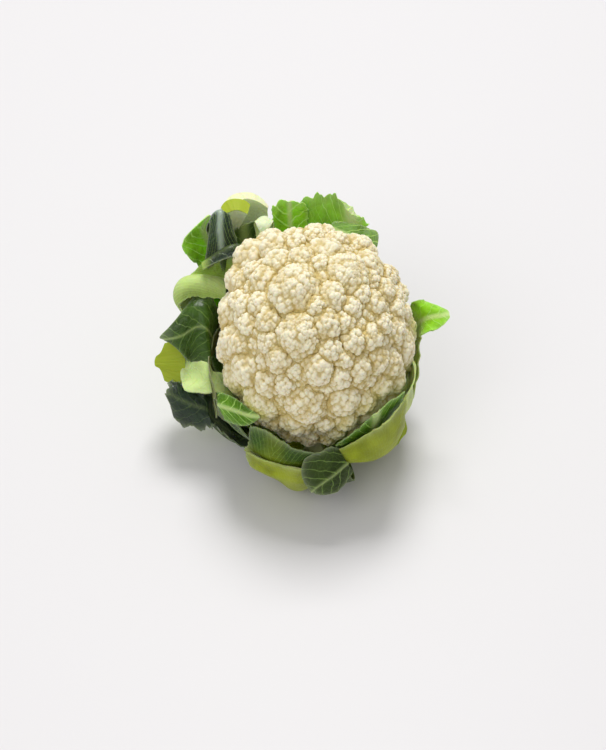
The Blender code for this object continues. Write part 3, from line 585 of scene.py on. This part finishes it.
def build_florets():
    settings = bpy.context.scene.curd
    directions, sizes, proud = floret_layout()
    balls = sizes * FLORET_SWELL
    middle = np.array([0.0, 0.0, CURD_CENTRE_Z])
    centres = middle + directions * (CURD_RADIUS + proud - balls)[:, None]
    part_names = [name for name, _ in CURD_PARTS]
    part_axes = unit(np.array([axis for _, axis in CURD_PARTS]))
    part_of = (directions @ part_axes.T).argmax(axis=1)
    leaf_points = np.vstack([leaf_surface(leaf, 40, 9)[0].reshape(-1, 3) for leaf in LEAVES])
    leaf_points[:, 1] -= LEAN * leaf_points[:, 2]

    seeds = {}
    for level in (5, 6):
        seeds[level] = add_primitive(
            "seed", bpy.ops.mesh.primitive_ico_sphere_add, subdivisions=level, radius=1.0
        )
    groups = {name: [] for name in part_names}
    for i, (axis, ball, centre) in enumerate(zip(directions, balls, centres)):
        rng = np.random.default_rng(100 + i)
        seed = seeds[6 if ball > FINE_BALL else 5]
        floret = seed.copy()
        floret.data = seed.data.copy()
        bpy.context.collection.objects.link(floret)
        rays = unit(read_points(floret.data))
        # the points are drawn towards the floret's outer side, which shows
        far = (1.0 - rays @ axis) / 2.0
        drawn = np.arccos(np.clip(1.0 - 2.0 * (0.45 * far + 0.55 * far**10), -1.0, 1.0))
        sideways = rays - (rays @ axis)[:, None] * axis
        sideways /= np.maximum(np.linalg.norm(sideways, axis=1), 1e-9)[:, None]
        rays = axis * np.cos(drawn)[:, None] + sideways * np.sin(drawn)[:, None]
        points, crease = shape_floret(
            rays, axis, ball, rng, settings.bud / MM, settings.grain / MM, settings.relief
        )
        points = points + centre
        near = np.full(len(points), 99.0)
        for j in range(len(balls)):
            if j != i and np.linalg.norm(centres[j] - centre) < ball + balls[j] + 6.0:
                near = np.minimum(near, np.linalg.norm(points - centres[j], axis=1) - balls[j])
        # painted shade: darker tan where this floret meets its neighbours
        crease = either(crease, 0.9 * np.exp(-np.maximum(near, 0.0) / CREASE_SHADE_WIDTH))
        # painted shade, tinted green, on the curd close to the leaves
        close = leaf_points[np.linalg.norm(leaf_points - centre, axis=1) < ball + 22.0]
        green = np.zeros(len(points))
        if len(close):
            apart = points[:, None, :].astype(np.float32) - close[None, :, :].astype(np.float32)
            gap = np.sqrt((apart**2).sum(axis=2).min(axis=1))
            green = np.exp(-np.maximum(gap - LEAF_SHADE_START, 0.0) / LEAF_SHADE_FADE)
        write_points(floret.data, points)
        store(floret.data, "crease", crease)
        store(floret.data, "green", green)
        groups[part_names[part_of[i]]].append(floret)
    for seed in seeds.values():
        bpy.data.objects.remove(seed, do_unlink=True)
    material = curd_material()
    for name, florets in groups.items():
        if not florets:
            continue
        bpy.ops.object.select_all(action="DESELECT")
        for floret in florets:
            floret.select_set(True)
        bpy.context.view_layer.objects.active = florets[0]
        if len(florets) > 1:
            bpy.ops.object.join()
        piece = bpy.context.active_object
        piece.name = piece.data.name = name
        hand_over(piece, "curd", material)


def build_core():
    """The solid curd between the florets, and the branching stalk under them."""
    core = add_primitive("curd_stalk", bpy.ops.mesh.primitive_ico_sphere_add, subdivisions=6, radius=1.0)
    rays = unit(read_points(core.data))
    centres = np.array([(0.0, 0.0, z) for z, _ in STALK])
    reach = ball_union(rays, centres, np.array([r for _, r in STALK]))
    longitude = np.arctan2(rays[:, 1], rays[:, 0])
    under = smoothstep(-0.1, -0.55, rays[:, 2]) * smoothstep(-1.0, -0.93, rays[:, 2])
    branches = np.abs(np.sin(longitude * 7.0 + 1.3 * np.sin(rays[:, 2] * 9.0)))
    reach -= under * 5.0 * (1.0 - branches) ** 2
    reach += 2.2 * (buds(rays, np.array([0.0, 0.0, 1.0]), 66.0, 4.5, np.random.default_rng(7)) - 0.8)
    foot = CURD_FOOT_Z - CURD_CENTRE_Z
    reach = np.minimum(reach, np.where(rays[:, 2] < 0, foot / np.minimum(rays[:, 2], -1e-6), np.inf))
    points = rays * reach[:, None]
    points[:, 2] += CURD_CENTRE_Z
    write_points(core.data, points)
    # painted shade: darker tan over the top, hidden under the florets, and in the grooves between the
    # branches below
    store(core.data, "crease", np.where(rays[:, 2] > -0.5, 0.7, 0.5 * (1.0 - branches)))
    # greener and darker towards the bottom: partly the stalk's own green, partly painted shade under the curd
    store(core.data, "green", smoothstep(-0.2, -0.8, rays[:, 2]))
    hand_over(core, "curd", curd_material())


def build_stem():
    """The stump: a turned side with leaf scars, and a flat cut face with its ring of fibres."""
    stem = add_primitive(
        "stem_stump", bpy.ops.mesh.primitive_uv_sphere_add, segments=96, ring_count=64, radius=1.0
    )
    rays = unit(read_points(stem.data))
    angle = np.arctan2(rays[:, 1], rays[:, 0])
    down = np.arccos(np.clip(rays[:, 2], -1, 1)) / math.pi
    # from the pole above to the pole below: the share of the way, the radius and the height
    profile = (
        (0.0, 0.0, STEM_TOP_Z), (0.3, STEM_RADIUS - 1.5, STEM_TOP_Z), (0.34, STEM_RADIUS, STEM_TOP_Z - 1.5),
        (0.66, STEM_RADIUS, 1.5), (0.68, STEM_RADIUS - 0.4, 0.5), (0.7, STEM_RADIUS - 1.3, 0.0),
        (1.0, 0.0, 0.0),
    )
    shares, radii, heights = zip(*profile)
    radius = np.interp(down, shares, radii)
    height = np.interp(down, shares, heights)
    side = smoothstep(STEM_RADIUS - 1.6, STEM_RADIUS, radius)
    scars = 0.5 * np.sin(3 * angle + height * 0.35) + 0.3 * np.sin(7 * angle - height * 0.8)
    radius = radius + side * (0.35 * scars - 0.5)
    write_points(stem.data, np.stack([radius * np.cos(angle), radius * np.sin(angle), height], 1))
    store(stem.data, "cut", (1.0 - side) * smoothstep(1.0, 0.2, height))
    store(stem.data, "ring", radius / STEM_RADIUS)
    hand_over(stem, "stem", stem_material())


# ---------------------------------------------------------------- the leaves


def through(values, count):
    """count rows on a smooth Catmull-Rom curve through the rows of values."""
    values = np.array(values, float)
    padded = np.concatenate([2 * values[:1] - values[1:2], values, 2 * values[-1:] - values[-2:-1]])
    place = np.linspace(0.0, len(values) - 1.0, count)
    i = np.minimum(place.astype(int), len(values) - 2)
    f = (place - i).reshape(-1, *[1] * (values.ndim - 1))
    a, b, c, d = padded[i], padded[i + 1], padded[i + 2], padded[i + 3]
    return b + 0.5 * ((c - a) * f + (2 * a - 5 * b + 4 * c - d) * f**2 + (3 * b - 3 * c + d - a) * f**3)


def even(values, count):
    """count rows, evenly spaced along their middle column, on the curve through the rows of values."""
    fine = through(values, 16 * len(values))
    middle = fine[:, fine.shape[1] // 2]
    way = np.concatenate([[0.0], np.cumsum(np.linalg.norm(np.diff(middle, axis=0), axis=1))])
    spot = np.interp(np.linspace(0.0, way[-1], count), way, np.arange(len(fine)))
    low = np.minimum(spot.astype(int), len(fine) - 2)
    f = (spot - low)[:, None, None]
    return fine[low] * (1 - f) + fine[low + 1] * f


def leaf_net(leaf):
    """The rows of places that a leaf's surface goes through, from its base to its tip."""
    columns = len(leaf["blade"][0]) if leaf["blade"] else 5
    rows = []
    if "ring" in leaf:
        route = [(r, z, a) for (r, z), a in zip(RINGS[leaf["ring"]], leaf["azimuths"])]
        route += leaf["beyond"]
        for (radius, height, azimuth), left, right in zip(route, leaf["left"], leaf["right"]):
            spread = np.linspace(-1.0, 1.0, columns)
            widths = np.where(spread < 0, left * spread, right * spread)
            rows.append([around(radius, height, azimuth + math.degrees(width / radius)) for width in widths])
    return np.array(rows + [list(row) for row in leaf["blade"]], float)


def leaf_surface(leaf, stations, columns):
    """The inner face of a leaf as a grid of places, with how far each is across from the rib and along it."""
    rows = even(leaf_net(leaf), stations)
    grid = through(rows.transpose(1, 0, 2), columns).transpose(1, 0, 2)
    spread = np.linspace(-1.0, 1.0, columns)
    middle = columns // 2
    steps = np.linalg.norm(np.diff(grid, axis=1), axis=2)
    across = np.concatenate([np.zeros((stations, 1)), np.cumsum(steps, axis=1)], axis=1)
    across -= across[:, middle : middle + 1]
    way = np.concatenate([[0.0], np.cumsum(np.linalg.norm(np.diff(grid[:, middle], axis=0), axis=1))])
    length = way[-1]
    along = np.repeat(way[:, None], columns, axis=1)

    # the edges: rounded or torn at the end, toothed and ruffled along the sides
    seed = sum(ord(letter) for letter in leaf["name"])
    edge = np.abs(spread)
    reach = {"cut": 0.0, "torn": 0.0, "round": 0.10}[leaf["end"]] * length
    jag = {"cut": 0.0, "torn": 1.0, "round": 0.5}[leaf["end"]] * leaf["teeth"]
    pull = reach * edge**3 + jag * (0.6 + 0.6 * wander(across[-1] / 4.0 + 50.0, seed + 3))
    place = np.linspace(0.0, 1.0, stations)[:, None] * (1.0 - np.clip(pull / length, 0.0, 0.5))[None, :]
    spot = place * (stations - 1)
    low = np.minimum(spot.astype(int), stations - 2)
    f = (spot - low)[:, :, None]
    k = np.arange(columns)[None, :]
    grid = grid[low, k] * (1 - f) + grid[low + 1, k] * f
    along = along[low, k] * (1 - f[:, :, 0]) + along[low + 1, k] * f[:, :, 0]
    across = across[low, k] * (1 - f[:, :, 0]) + across[low + 1, k] * f[:, :, 0]

    out = unit(np.cross(np.gradient(grid, axis=1), np.gradient(grid, axis=0)))
    aside = unit(np.gradient(grid, axis=1)) * np.sign(spread)[None, :, None]
    grown = smoothstep(0.25, 0.6, along / length) if "ring" in leaf else np.ones_like(along)
    sides = np.where(spread < 0, 1, 2)
    tooth = np.zeros_like(along)
    wave = np.zeros_like(along)
    for side in (1, 2):
        of_side = sides == side
        for scale, strength in ((4.5, 0.6), (1.8, 0.4)):
            tooth[:, of_side] += strength * wander(along[:, of_side] / scale, seed + side, 2)
        wave[:, of_side] = wander(along[:, of_side] / 9.0 + spread[of_side], seed + 4 + side, 2)
    grid = grid + aside * (leaf["teeth"] * grown * edge**5 * tooth)[:, :, None]
    grid = grid + out * (leaf["ruffle"] * grown * edge**2 * wave)[:, :, None]
    rib = leaf["rib"][0] + (leaf["rib"][1] - leaf["rib"][0]) * smoothstep(0.25, 0.8, along / length)
    bump = np.exp(-np.abs(across / leaf["rib_width"]) ** 2.6)
    thickness = BLADE + np.maximum(rib - BLADE, 0.0) * bump
    return grid, thickness, across, along, length


def build_leaf(leaf):
    """A leaf: a grid laid along its path and given its thickness by Solidify."""
    net = leaf_net(leaf)
    length = np.linalg.norm(np.diff(net[:, net.shape[1] // 2], axis=0), axis=1).sum()
    widest = np.linalg.norm(np.diff(net, axis=1), axis=2).sum(axis=1).max()
    stations = max(int(length / LEAF_GRAIN), 24)
    columns = max(int(widest / LEAF_GRAIN), 16) // 2 * 2 + 1
    inner, thickness, across, along, length = leaf_surface(leaf, stations, columns)
    piece = add_primitive(
        leaf["name"] + "_green", bpy.ops.mesh.primitive_grid_add, x_subdivisions=columns - 1,
        y_subdivisions=stations - 1, size=2.0, calc_uvs=True,
    )
    mesh = piece.data
    flat = read_points(mesh)
    column = np.rint((flat[:, 0] + 1.0) * 0.5 * (columns - 1)).astype(int)
    station = np.rint((flat[:, 1] + 1.0) * 0.5 * (stations - 1)).astype(int)
    points = inner[station, column]
    points[:, 2] = np.maximum(points[:, 2], 0.0)
    mesh.vertices.foreach_set("co", (points * MM).ravel())
    mesh.update()
    store(mesh, "rib", np.exp(-np.abs(across[station, column] / leaf["rib_width"]) ** 3))
    store(mesh, "along", along[station, column] / length)
    ends = (station == stations - 1).astype(float) if leaf["end"] == "cut" else np.zeros(len(flat))
    store(mesh, "cut", ends)
    rim = np.maximum(np.abs(2.0 * column / (columns - 1) - 1.0) ** 12, (station / (stations - 1)) ** 40)
    store(mesh, "rim", rim)
    uv = mesh.uv_layers.active.data
    loops = np.empty(len(mesh.loops), int)
    mesh.loops.foreach_get("vertex_index", loops)
    places = np.stack([across[station, column], along[station, column]], 1)[loops] * 0.1
    uv.foreach_set("uv", places.ravel())
    amounts = thickness[station, column]
    thickest = float(amounts.max())
    group = piece.vertex_groups.new(name="thickness")
    for index, amount in enumerate(amounts / thickest):
        group.add([index], float(amount), "REPLACE")
    shell = piece.modifiers.new("Thickness", "SOLIDIFY")
    shell.thickness = thickest * MM
    shell.offset = 1.0
    shell.vertex_group = "thickness"
    apply_modifier(piece, "Thickness")
    mesh = piece.data
    outside = np.ones(len(mesh.vertices))
    outside[: len(flat)] = 0.0
    store(mesh, "outside", outside)
    points = read_points(mesh)
    points[:, 2] = np.maximum(points[:, 2], 0.0)
    mesh.vertices.foreach_set("co", points.ravel())
    mesh.update()
    node = leaf.get("node", leaf["name"])
    hand_over(piece, node, leaf_material(leaf["finish"]))
    bpy.ops.object.shade_smooth_by_angle(angle=math.radians(50))


def leaf_ring(leaf):
    """The ring that a leaf, or the leaf that it is part of, belongs to."""
    if "ring" in leaf:
        return leaf["ring"]
    return next(other["ring"] for other in LEAVES if other["name"] == leaf["node"])


def build_ring(ring):
    for leaf in LEAVES:
        if leaf_ring(leaf) == ring:
            build_leaf(leaf)


# ---------------------------------------------------------------- materials


def new_group(name, inputs, outputs):
    group = bpy.data.node_groups.new(name, "ShaderNodeTree")
    for label, kind, value in inputs:
        socket = group.interface.new_socket(label, in_out="INPUT", socket_type=kind)
        if value is not None:
            socket.default_value = value
    for label, kind in outputs:
        group.interface.new_socket(label, in_out="OUTPUT", socket_type=kind)
    return group, group.nodes.new("NodeGroupInput"), group.nodes.new("NodeGroupOutput")


def math_node(tree, operation, a, b=None, clamp=False):
    node = tree.nodes.new("ShaderNodeMath")
    node.operation = operation
    node.use_clamp = clamp
    for slot_index, value in enumerate((a, b)):
        if value is None:
            continue
        if isinstance(value, (int, float)):
            node.inputs[slot_index].default_value = value
        else:
            tree.links.new(value, node.inputs[slot_index])
    return node.outputs[0]


def mix_colour(tree, factor, a, b):
    node = tree.nodes.new("ShaderNodeMix")
    node.data_type = "RGBA"
    for socket, value in ((node.inputs[0], factor), (node.inputs[6], a), (node.inputs[7], b)):
        if isinstance(value, (int, float)):
            socket.default_value = value
        elif isinstance(value, tuple):
            socket.default_value = (*value[:3], 1.0)
        else:
            tree.links.new(value, socket)
    return node.outputs[2]


def ramp(tree, value, low, high):
    node = tree.nodes.new("ShaderNodeMapRange")
    node.interpolation_type = "SMOOTHSTEP"
    node.inputs["From Min"].default_value = low
    node.inputs["From Max"].default_value = high
    tree.links.new(value, node.inputs["Value"])
    return node.outputs["Result"]


def attribute(tree, name):
    node = tree.nodes.new("ShaderNodeAttribute")
    node.attribute_name = name
    return node.outputs["Fac"]


def times(tree, a, b, clamp=False):
    return math_node(tree, "MULTIPLY", a, b, clamp)


def plus(tree, a, b):
    return math_node(tree, "ADD", a, b)


def minus(tree, a, b):
    return math_node(tree, "SUBTRACT", a, b)


def add_bump(tree, shader, height, strength, distance):
    """Fine relief on a material, in metres."""
    bump = tree.nodes.new("ShaderNodeBump")
    bump.inputs["Strength"].default_value = strength
    bump.inputs["Distance"].default_value = distance
    tree.links.new(height, bump.inputs["Height"])
    tree.links.new(bump.outputs["Normal"], shader.inputs["Normal"])


def let_light_in(shader, weight, colour_reach, scale):
    """Light that spreads under a moist surface."""
    shader.inputs["Subsurface Weight"].default_value = weight
    shader.inputs["Subsurface Radius"].default_value = colour_reach
    shader.inputs["Subsurface Scale"].default_value = scale


def new_material(name):
    material = bpy.data.materials.new(name)
    material.use_nodes = True
    return material, material.node_tree, material.node_tree.nodes["Principled BSDF"]


def mottle_group():
    """Soft blotches and fine grain on plant flesh, as one value around 0.5."""
    group = bpy.data.node_groups.get("plant_mottle")
    if group:
        return group
    group, start, end = new_group(
        "plant_mottle",
        (("Vector", "NodeSocketVector", None), ("Blotch Scale", "NodeSocketFloat", 60.0),
         ("Grain Scale", "NodeSocketFloat", 900.0)),
        (("Blotch", "NodeSocketFloat"), ("Grain", "NodeSocketFloat")),
    )
    for label, scale in (("Blotch", "Blotch Scale"), ("Grain", "Grain Scale")):
        node = group.nodes.new("ShaderNodeTexNoise")
        node.inputs["Detail"].default_value = 4.0
        group.links.new(start.outputs["Vector"], node.inputs["Vector"])
        group.links.new(start.outputs[scale], node.inputs["Scale"])
        group.links.new(node.outputs["Fac"], end.inputs[label])
    return group


def place_mottle(tree, blotch, grain):
    coordinates = tree.nodes.new("ShaderNodeTexCoord").outputs["Object"]
    node = tree.nodes.new("ShaderNodeGroup")
    node.node_tree = mottle_group()
    node.inputs["Blotch Scale"].default_value = blotch
    node.inputs["Grain Scale"].default_value = grain
    tree.links.new(coordinates, node.inputs["Vector"])
    return node.outputs["Blotch"], node.outputs["Grain"]


def vein_group():
    """The net of a brassica leaf, from a UV map in centimetres with the midrib at U = 0."""
    tree = bpy.data.node_groups.get("leaf_veins")
    if tree:
        return tree
    tree, start, end = new_group(
        "leaf_veins",
        (("Place", "NodeSocketVector", None), ("Spacing", "NodeSocketFloat", 1.1),
         ("Slope", "NodeSocketFloat", 0.9), ("Width", "NodeSocketFloat", 0.05)),
        (("Side Veins", "NodeSocketFloat"), ("Net", "NodeSocketFloat"), ("Puckers", "NodeSocketFloat")),
    )
    warp = tree.nodes.new("ShaderNodeTexNoise")
    warp.inputs["Scale"].default_value = 0.9
    warp.inputs["Detail"].default_value = 2.0
    tree.links.new(start.outputs["Place"], warp.inputs["Vector"])
    split = tree.nodes.new("ShaderNodeSeparateXYZ")
    tree.links.new(start.outputs["Place"], split.inputs[0])
    u = math_node(tree, "ABSOLUTE", split.outputs["X"])
    flip = times(tree, math_node(tree, "GREATER_THAN", split.outputs["X"], 0.0), 0.37)
    rise = times(tree, u, start.outputs["Slope"])
    curve = times(tree, times(tree, u, u), 0.10)
    v = minus(tree, minus(tree, split.outputs["Y"], rise), curve)
    v = plus(tree, v, times(tree, minus(tree, warp.outputs["Fac"], 0.5), 0.9))
    q = plus(tree, math_node(tree, "DIVIDE", v, start.outputs["Spacing"]), flip)
    turn = math_node(tree, "FRACT", plus(tree, q, 0.5))
    gap = math_node(tree, "ABSOLUTE", minus(tree, turn, 0.5))
    gap = times(tree, gap, start.outputs["Spacing"])
    taper = times(tree, start.outputs["Width"],
                      minus(tree, 1.15, times(tree, u, 0.25)))
    inner = math_node(tree, "DIVIDE", gap, math_node(tree, "MAXIMUM", taper, 0.012))
    side = ramp(tree, inner, 1.4, 0.6)
    cells = tree.nodes.new("ShaderNodeTexVoronoi")
    cells.feature = "DISTANCE_TO_EDGE"
    cells.inputs["Scale"].default_value = 2.1
    mixed = tree.nodes.new("ShaderNodeVectorMath")
    mixed.operation = "ADD"
    tree.links.new(start.outputs["Place"], mixed.inputs[0])
    tree.links.new(warp.outputs["Color"], mixed.inputs[1])
    tree.links.new(mixed.outputs[0], cells.inputs["Vector"])
    net = ramp(tree, cells.outputs["Distance"], 0.055, 0.015)
    puckers = ramp(tree, cells.outputs["Distance"], 0.0, 0.35)
    tree.links.new(side, end.inputs["Side Veins"])
    tree.links.new(net, end.inputs["Net"])
    tree.links.new(puckers, end.inputs["Puckers"])
    return tree


def curd_material():
    material = bpy.data.materials.get("curd_buds")
    if material:
        return material
    settings = bpy.context.scene.curd
    material, tree, shader = new_material("curd_buds")
    blotch, grain = place_mottle(tree, 45.0, 1400.0)
    crease = attribute(tree, "crease")
    green = attribute(tree, "green")
    # painted crease shade, with random blotches of the curd's own tone, turns the flesh towards the darker
    # tan
    shade_and_mottle = plus(tree, crease, times(tree, minus(tree, blotch, 0.5), 0.35))
    shaded = mix_colour(tree, ramp(tree, shade_and_mottle, 0.12, 1.1), tuple(settings.flesh), tuple(settings.crease))
    # painted shade: the curd turns darker green near the leaves, more so in its creases
    shading = times(tree, green, plus(tree, times(tree, crease, 0.6), 0.45),
                      clamp=True)
    tree.links.new(mix_colour(tree, shading, shaded, tuple(settings.green)), shader.inputs["Base Color"])
    shader.inputs["Roughness"].default_value = 0.62
    let_light_in(shader, 0.35, (1.0, 0.75, 0.40), 0.0018)
    add_bump(tree, shader, grain, 0.25, 0.0003)
    return material


def stem_material():
    material = bpy.data.materials.get("stem_stump")
    if material:
        return material
    settings = bpy.context.scene.stem
    material, tree, shader = new_material("stem_stump")
    blotch, grain = place_mottle(tree, 90.0, 1200.0)
    cut = attribute(tree, "cut")
    ring = attribute(tree, "ring")
    fibres = times(tree, ramp(tree, ring, 0.62, 0.72), ramp(tree, ring, 0.86, 0.78))
    heart = mix_colour(tree, times(tree, fibres, 0.6), tuple(settings.heart), (0.55, 0.60, 0.25))
    skin = mix_colour(tree, ramp(tree, blotch, 0.3, 0.75), tuple(settings.skin), (0.62, 0.60, 0.36))
    tree.links.new(mix_colour(tree, cut, skin, heart), shader.inputs["Base Color"])
    shader.inputs["Roughness"].default_value = 0.5
    let_light_in(shader, 0.2, (0.8, 0.9, 0.3), 0.002)
    add_bump(tree, shader, grain, 0.3, 0.0004)
    return material


def leaf_material(name):
    """A leaf's finish: its foot, its blade with veins, its outer face, its rib, its rim and its cut face."""
    material = bpy.data.materials.get("leaf_" + name)
    if material:
        return material
    settings = bpy.context.scene.leaf
    look = LEAF_FINISHES[name]
    blade, foot, rib_colour = (tuple(getattr(settings, look[key])) for key in ("blade", "foot", "rib"))
    material, tree, shader = new_material("leaf_" + name)
    blotch, grain = place_mottle(tree, 70.0, 1500.0)
    place = tree.nodes.new("ShaderNodeUVMap").outputs["UV"]
    veins = tree.nodes.new("ShaderNodeGroup")
    veins.node_tree = vein_group()
    veins.inputs["Spacing"].default_value = settings.vein_spacing * 100.0
    veins.inputs["Slope"].default_value = look["slope"]
    veins.inputs["Width"].default_value = look["vein_width"]
    tree.links.new(place, veins.inputs["Place"])
    rib, along, outside, cut, rim = (
        attribute(tree, part) for part in ("rib", "along", "outside", "cut", "rim")
    )
    darker = tuple(0.75 * c for c in blade)
    lighter = tuple(min(1.0, 1.25 * c) for c in blade)
    mottled = mix_colour(tree, ramp(tree, blotch, 0.3, 0.7), darker, lighter)
    reach = look["foot_reach"]
    footed = mix_colour(tree, ramp(tree, along, reach + 0.12, reach - 0.12), mottled, foot)
    net = times(tree, veins.outputs["Net"], 0.22 * look["veins"])
    netted = mix_colour(tree, net, footed, tuple(settings.vein))
    side = times(tree, veins.outputs["Side Veins"], look["veins"])
    veined = mix_colour(tree, side, netted, tuple(settings.vein))
    backed = mix_colour(tree, times(tree, outside, look["pale_back"]), veined, tuple(settings.back))
    ribbed = mix_colour(tree, times(tree, rib, look["rib_strength"]), backed, rib_colour)
    rimmed = mix_colour(tree, times(tree, rim, 0.25), ribbed, tuple(settings.rim))
    finished = mix_colour(tree, cut, rimmed, tuple(getattr(settings, look["cut"])))
    tree.links.new(finished, shader.inputs["Base Color"])
    tree.links.new(
        plus(tree, times(tree, blotch, 0.25), look["roughness"] - 0.12),
        shader.inputs["Roughness"],
    )
    let_light_in(shader, 0.5, (0.6, 1.0, 0.1), 0.0015)
    shader.inputs["Specular IOR Level"].default_value = look["gloss"]
    if look["wax"]:
        shader.inputs["Sheen Weight"].default_value = look["wax"]
        shader.inputs["Sheen Roughness"].default_value = 0.4
        shader.inputs["Sheen Tint"].default_value = (0.75, 0.9, 1.0, 1.0)
    height = plus(tree, times(tree, veins.outputs["Puckers"], 0.5),
                       times(tree, veins.outputs["Side Veins"], 0.6))
    height = plus(tree, height, times(tree, grain, 0.12))
    add_bump(tree, shader, height, 0.5, 0.0009)
    return material


# ---------------------------------------------------------------- the stage


def build_stage():
    settings = bpy.context.scene.stage
    floor = add_primitive("floor", bpy.ops.mesh.primitive_plane_add, size=6.0, location=(0, 0, 0))
    material, tree, shader = new_material("floor")
    shader.inputs["Base Color"].default_value = (*settings.floor, 1.0)
    shader.inputs["Roughness"].default_value = 0.55
    floor.data.materials.append(material)

    for name, place, turn, spread, power in LIGHTS:
        bpy.ops.object.light_add(type="AREA", location=place, rotation=[math.radians(a) for a in turn])
        light = bpy.context.active_object
        light.name = name
        light.data.size = spread
        light.data.energy = power
    world = bpy.data.worlds.new("studio")
    bpy.context.scene.world = world
    world.use_nodes = True
    background = world.node_tree.nodes["Background"]
    background.inputs["Color"].default_value = (1.0, 1.0, 1.0, 1.0)
    background.inputs["Strength"].default_value = 0.5

    tilt = math.radians(90) - settings.elevation
    bpy.ops.object.camera_add(location=CAMERA_PLACE, rotation=(tilt, 0, 0))
    camera = bpy.context.active_object
    camera.name = "camera"
    camera.data.lens = settings.lens
    camera.data.sensor_width = 36.0
    bpy.context.scene.camera = camera
    bpy.context.scene.view_settings.view_transform = "Standard"


# ---------------------------------------------------------------- operators and panel


class BuildStep:
    """What every building operator shares."""

    bl_options = {"REGISTER", "UNDO"}


class CAULIFLOWER_OT_florets(BuildStep, bpy.types.Operator):
    """Models the florets of the curd"""

    bl_idname = "cauliflower.florets"
    bl_label = "Curd florets"

    def execute(self, context):
        build_florets()
        return {"FINISHED"}


class CAULIFLOWER_OT_stalk(BuildStep, bpy.types.Operator):
    """Models the solid curd between the florets and the branching stalk under it"""

    bl_idname = "cauliflower.stalk"
    bl_label = "Curd stalk"

    def execute(self, context):
        build_core()
        return {"FINISHED"}


class CAULIFLOWER_OT_stem(BuildStep, bpy.types.Operator):
    """Models the cut stem"""

    bl_idname = "cauliflower.stem"
    bl_label = "Stem"

    def execute(self, context):
        build_stem()
        return {"FINISHED"}


class CAULIFLOWER_OT_outer_leaves(BuildStep, bpy.types.Operator):
    """Models the outermost ring of leaves"""

    bl_idname = "cauliflower.outer_leaves"
    bl_label = "Outer leaves"

    def execute(self, context):
        build_ring(0)
        return {"FINISHED"}


class CAULIFLOWER_OT_second_leaves(BuildStep, bpy.types.Operator):
    """Models the second ring of leaves"""

    bl_idname = "cauliflower.second_leaves"
    bl_label = "Second ring of leaves"

    def execute(self, context):
        build_ring(1)
        return {"FINISHED"}


class CAULIFLOWER_OT_third_leaves(BuildStep, bpy.types.Operator):
    """Models the third ring of leaves"""

    bl_idname = "cauliflower.third_leaves"
    bl_label = "Third ring of leaves"

    def execute(self, context):
        build_ring(2)
        return {"FINISHED"}


class CAULIFLOWER_OT_inner_leaves(BuildStep, bpy.types.Operator):
    """Models the young leaves that lie on the curd"""

    bl_idname = "cauliflower.inner_leaves"
    bl_label = "Inner leaves"

    def execute(self, context):
        build_ring(3)
        return {"FINISHED"}


class CAULIFLOWER_OT_stage(BuildStep, bpy.types.Operator):
    """Sets up the floor, the lights and the camera"""

    bl_idname = "cauliflower.stage"
    bl_label = "Stage"

    def execute(self, context):
        build_stage()
        return {"FINISHED"}


STEPS = (
    CAULIFLOWER_OT_florets, CAULIFLOWER_OT_stalk, CAULIFLOWER_OT_stem, CAULIFLOWER_OT_outer_leaves,
    CAULIFLOWER_OT_second_leaves, CAULIFLOWER_OT_third_leaves, CAULIFLOWER_OT_inner_leaves,
    CAULIFLOWER_OT_stage,
)
SETTINGS = (("curd", CurdSettings), ("leaf", LeafSettings), ("stem", StemSettings), ("stage", StageSettings))


class CAULIFLOWER_PT_panel(bpy.types.Panel):
    """Lists the building steps and their settings"""

    bl_idname = "CAULIFLOWER_PT_panel"
    bl_label = "Cauliflower"
    bl_space_type = "VIEW_3D"
    bl_region_type = "UI"
    bl_category = "Cauliflower"

    def draw(self, context):
        layout = self.layout
        for step in STEPS:
            layout.operator(step.bl_idname)
        for name, group in SETTINGS:
            box = layout.box()
            for key in group.__annotations__:
                box.prop(getattr(context.scene, name), key)


def register():
    for name, group in SETTINGS:
        bpy.utils.register_class(group)
        setattr(bpy.types.Scene, name, bpy.props.PointerProperty(type=group))
    for step in STEPS:
        bpy.utils.register_class(step)
    bpy.utils.register_class(CAULIFLOWER_PT_panel)


def unregister():
    bpy.utils.unregister_class(CAULIFLOWER_PT_panel)
    for step in reversed(STEPS):
        bpy.utils.unregister_class(step)
    for name, group in reversed(SETTINGS):
        delattr(bpy.types.Scene, name)
        bpy.utils.unregister_class(group)


def main():
    register()
    bpy.ops.cauliflower.florets()
    bpy.ops.cauliflower.stalk()
    bpy.ops.cauliflower.stem()
    bpy.ops.cauliflower.outer_leaves()
    bpy.ops.cauliflower.second_leaves()
    bpy.ops.cauliflower.third_leaves()
    bpy.ops.cauliflower.inner_leaves()
    bpy.ops.cauliflower.stage()


if __name__ == "__main__":
    main()
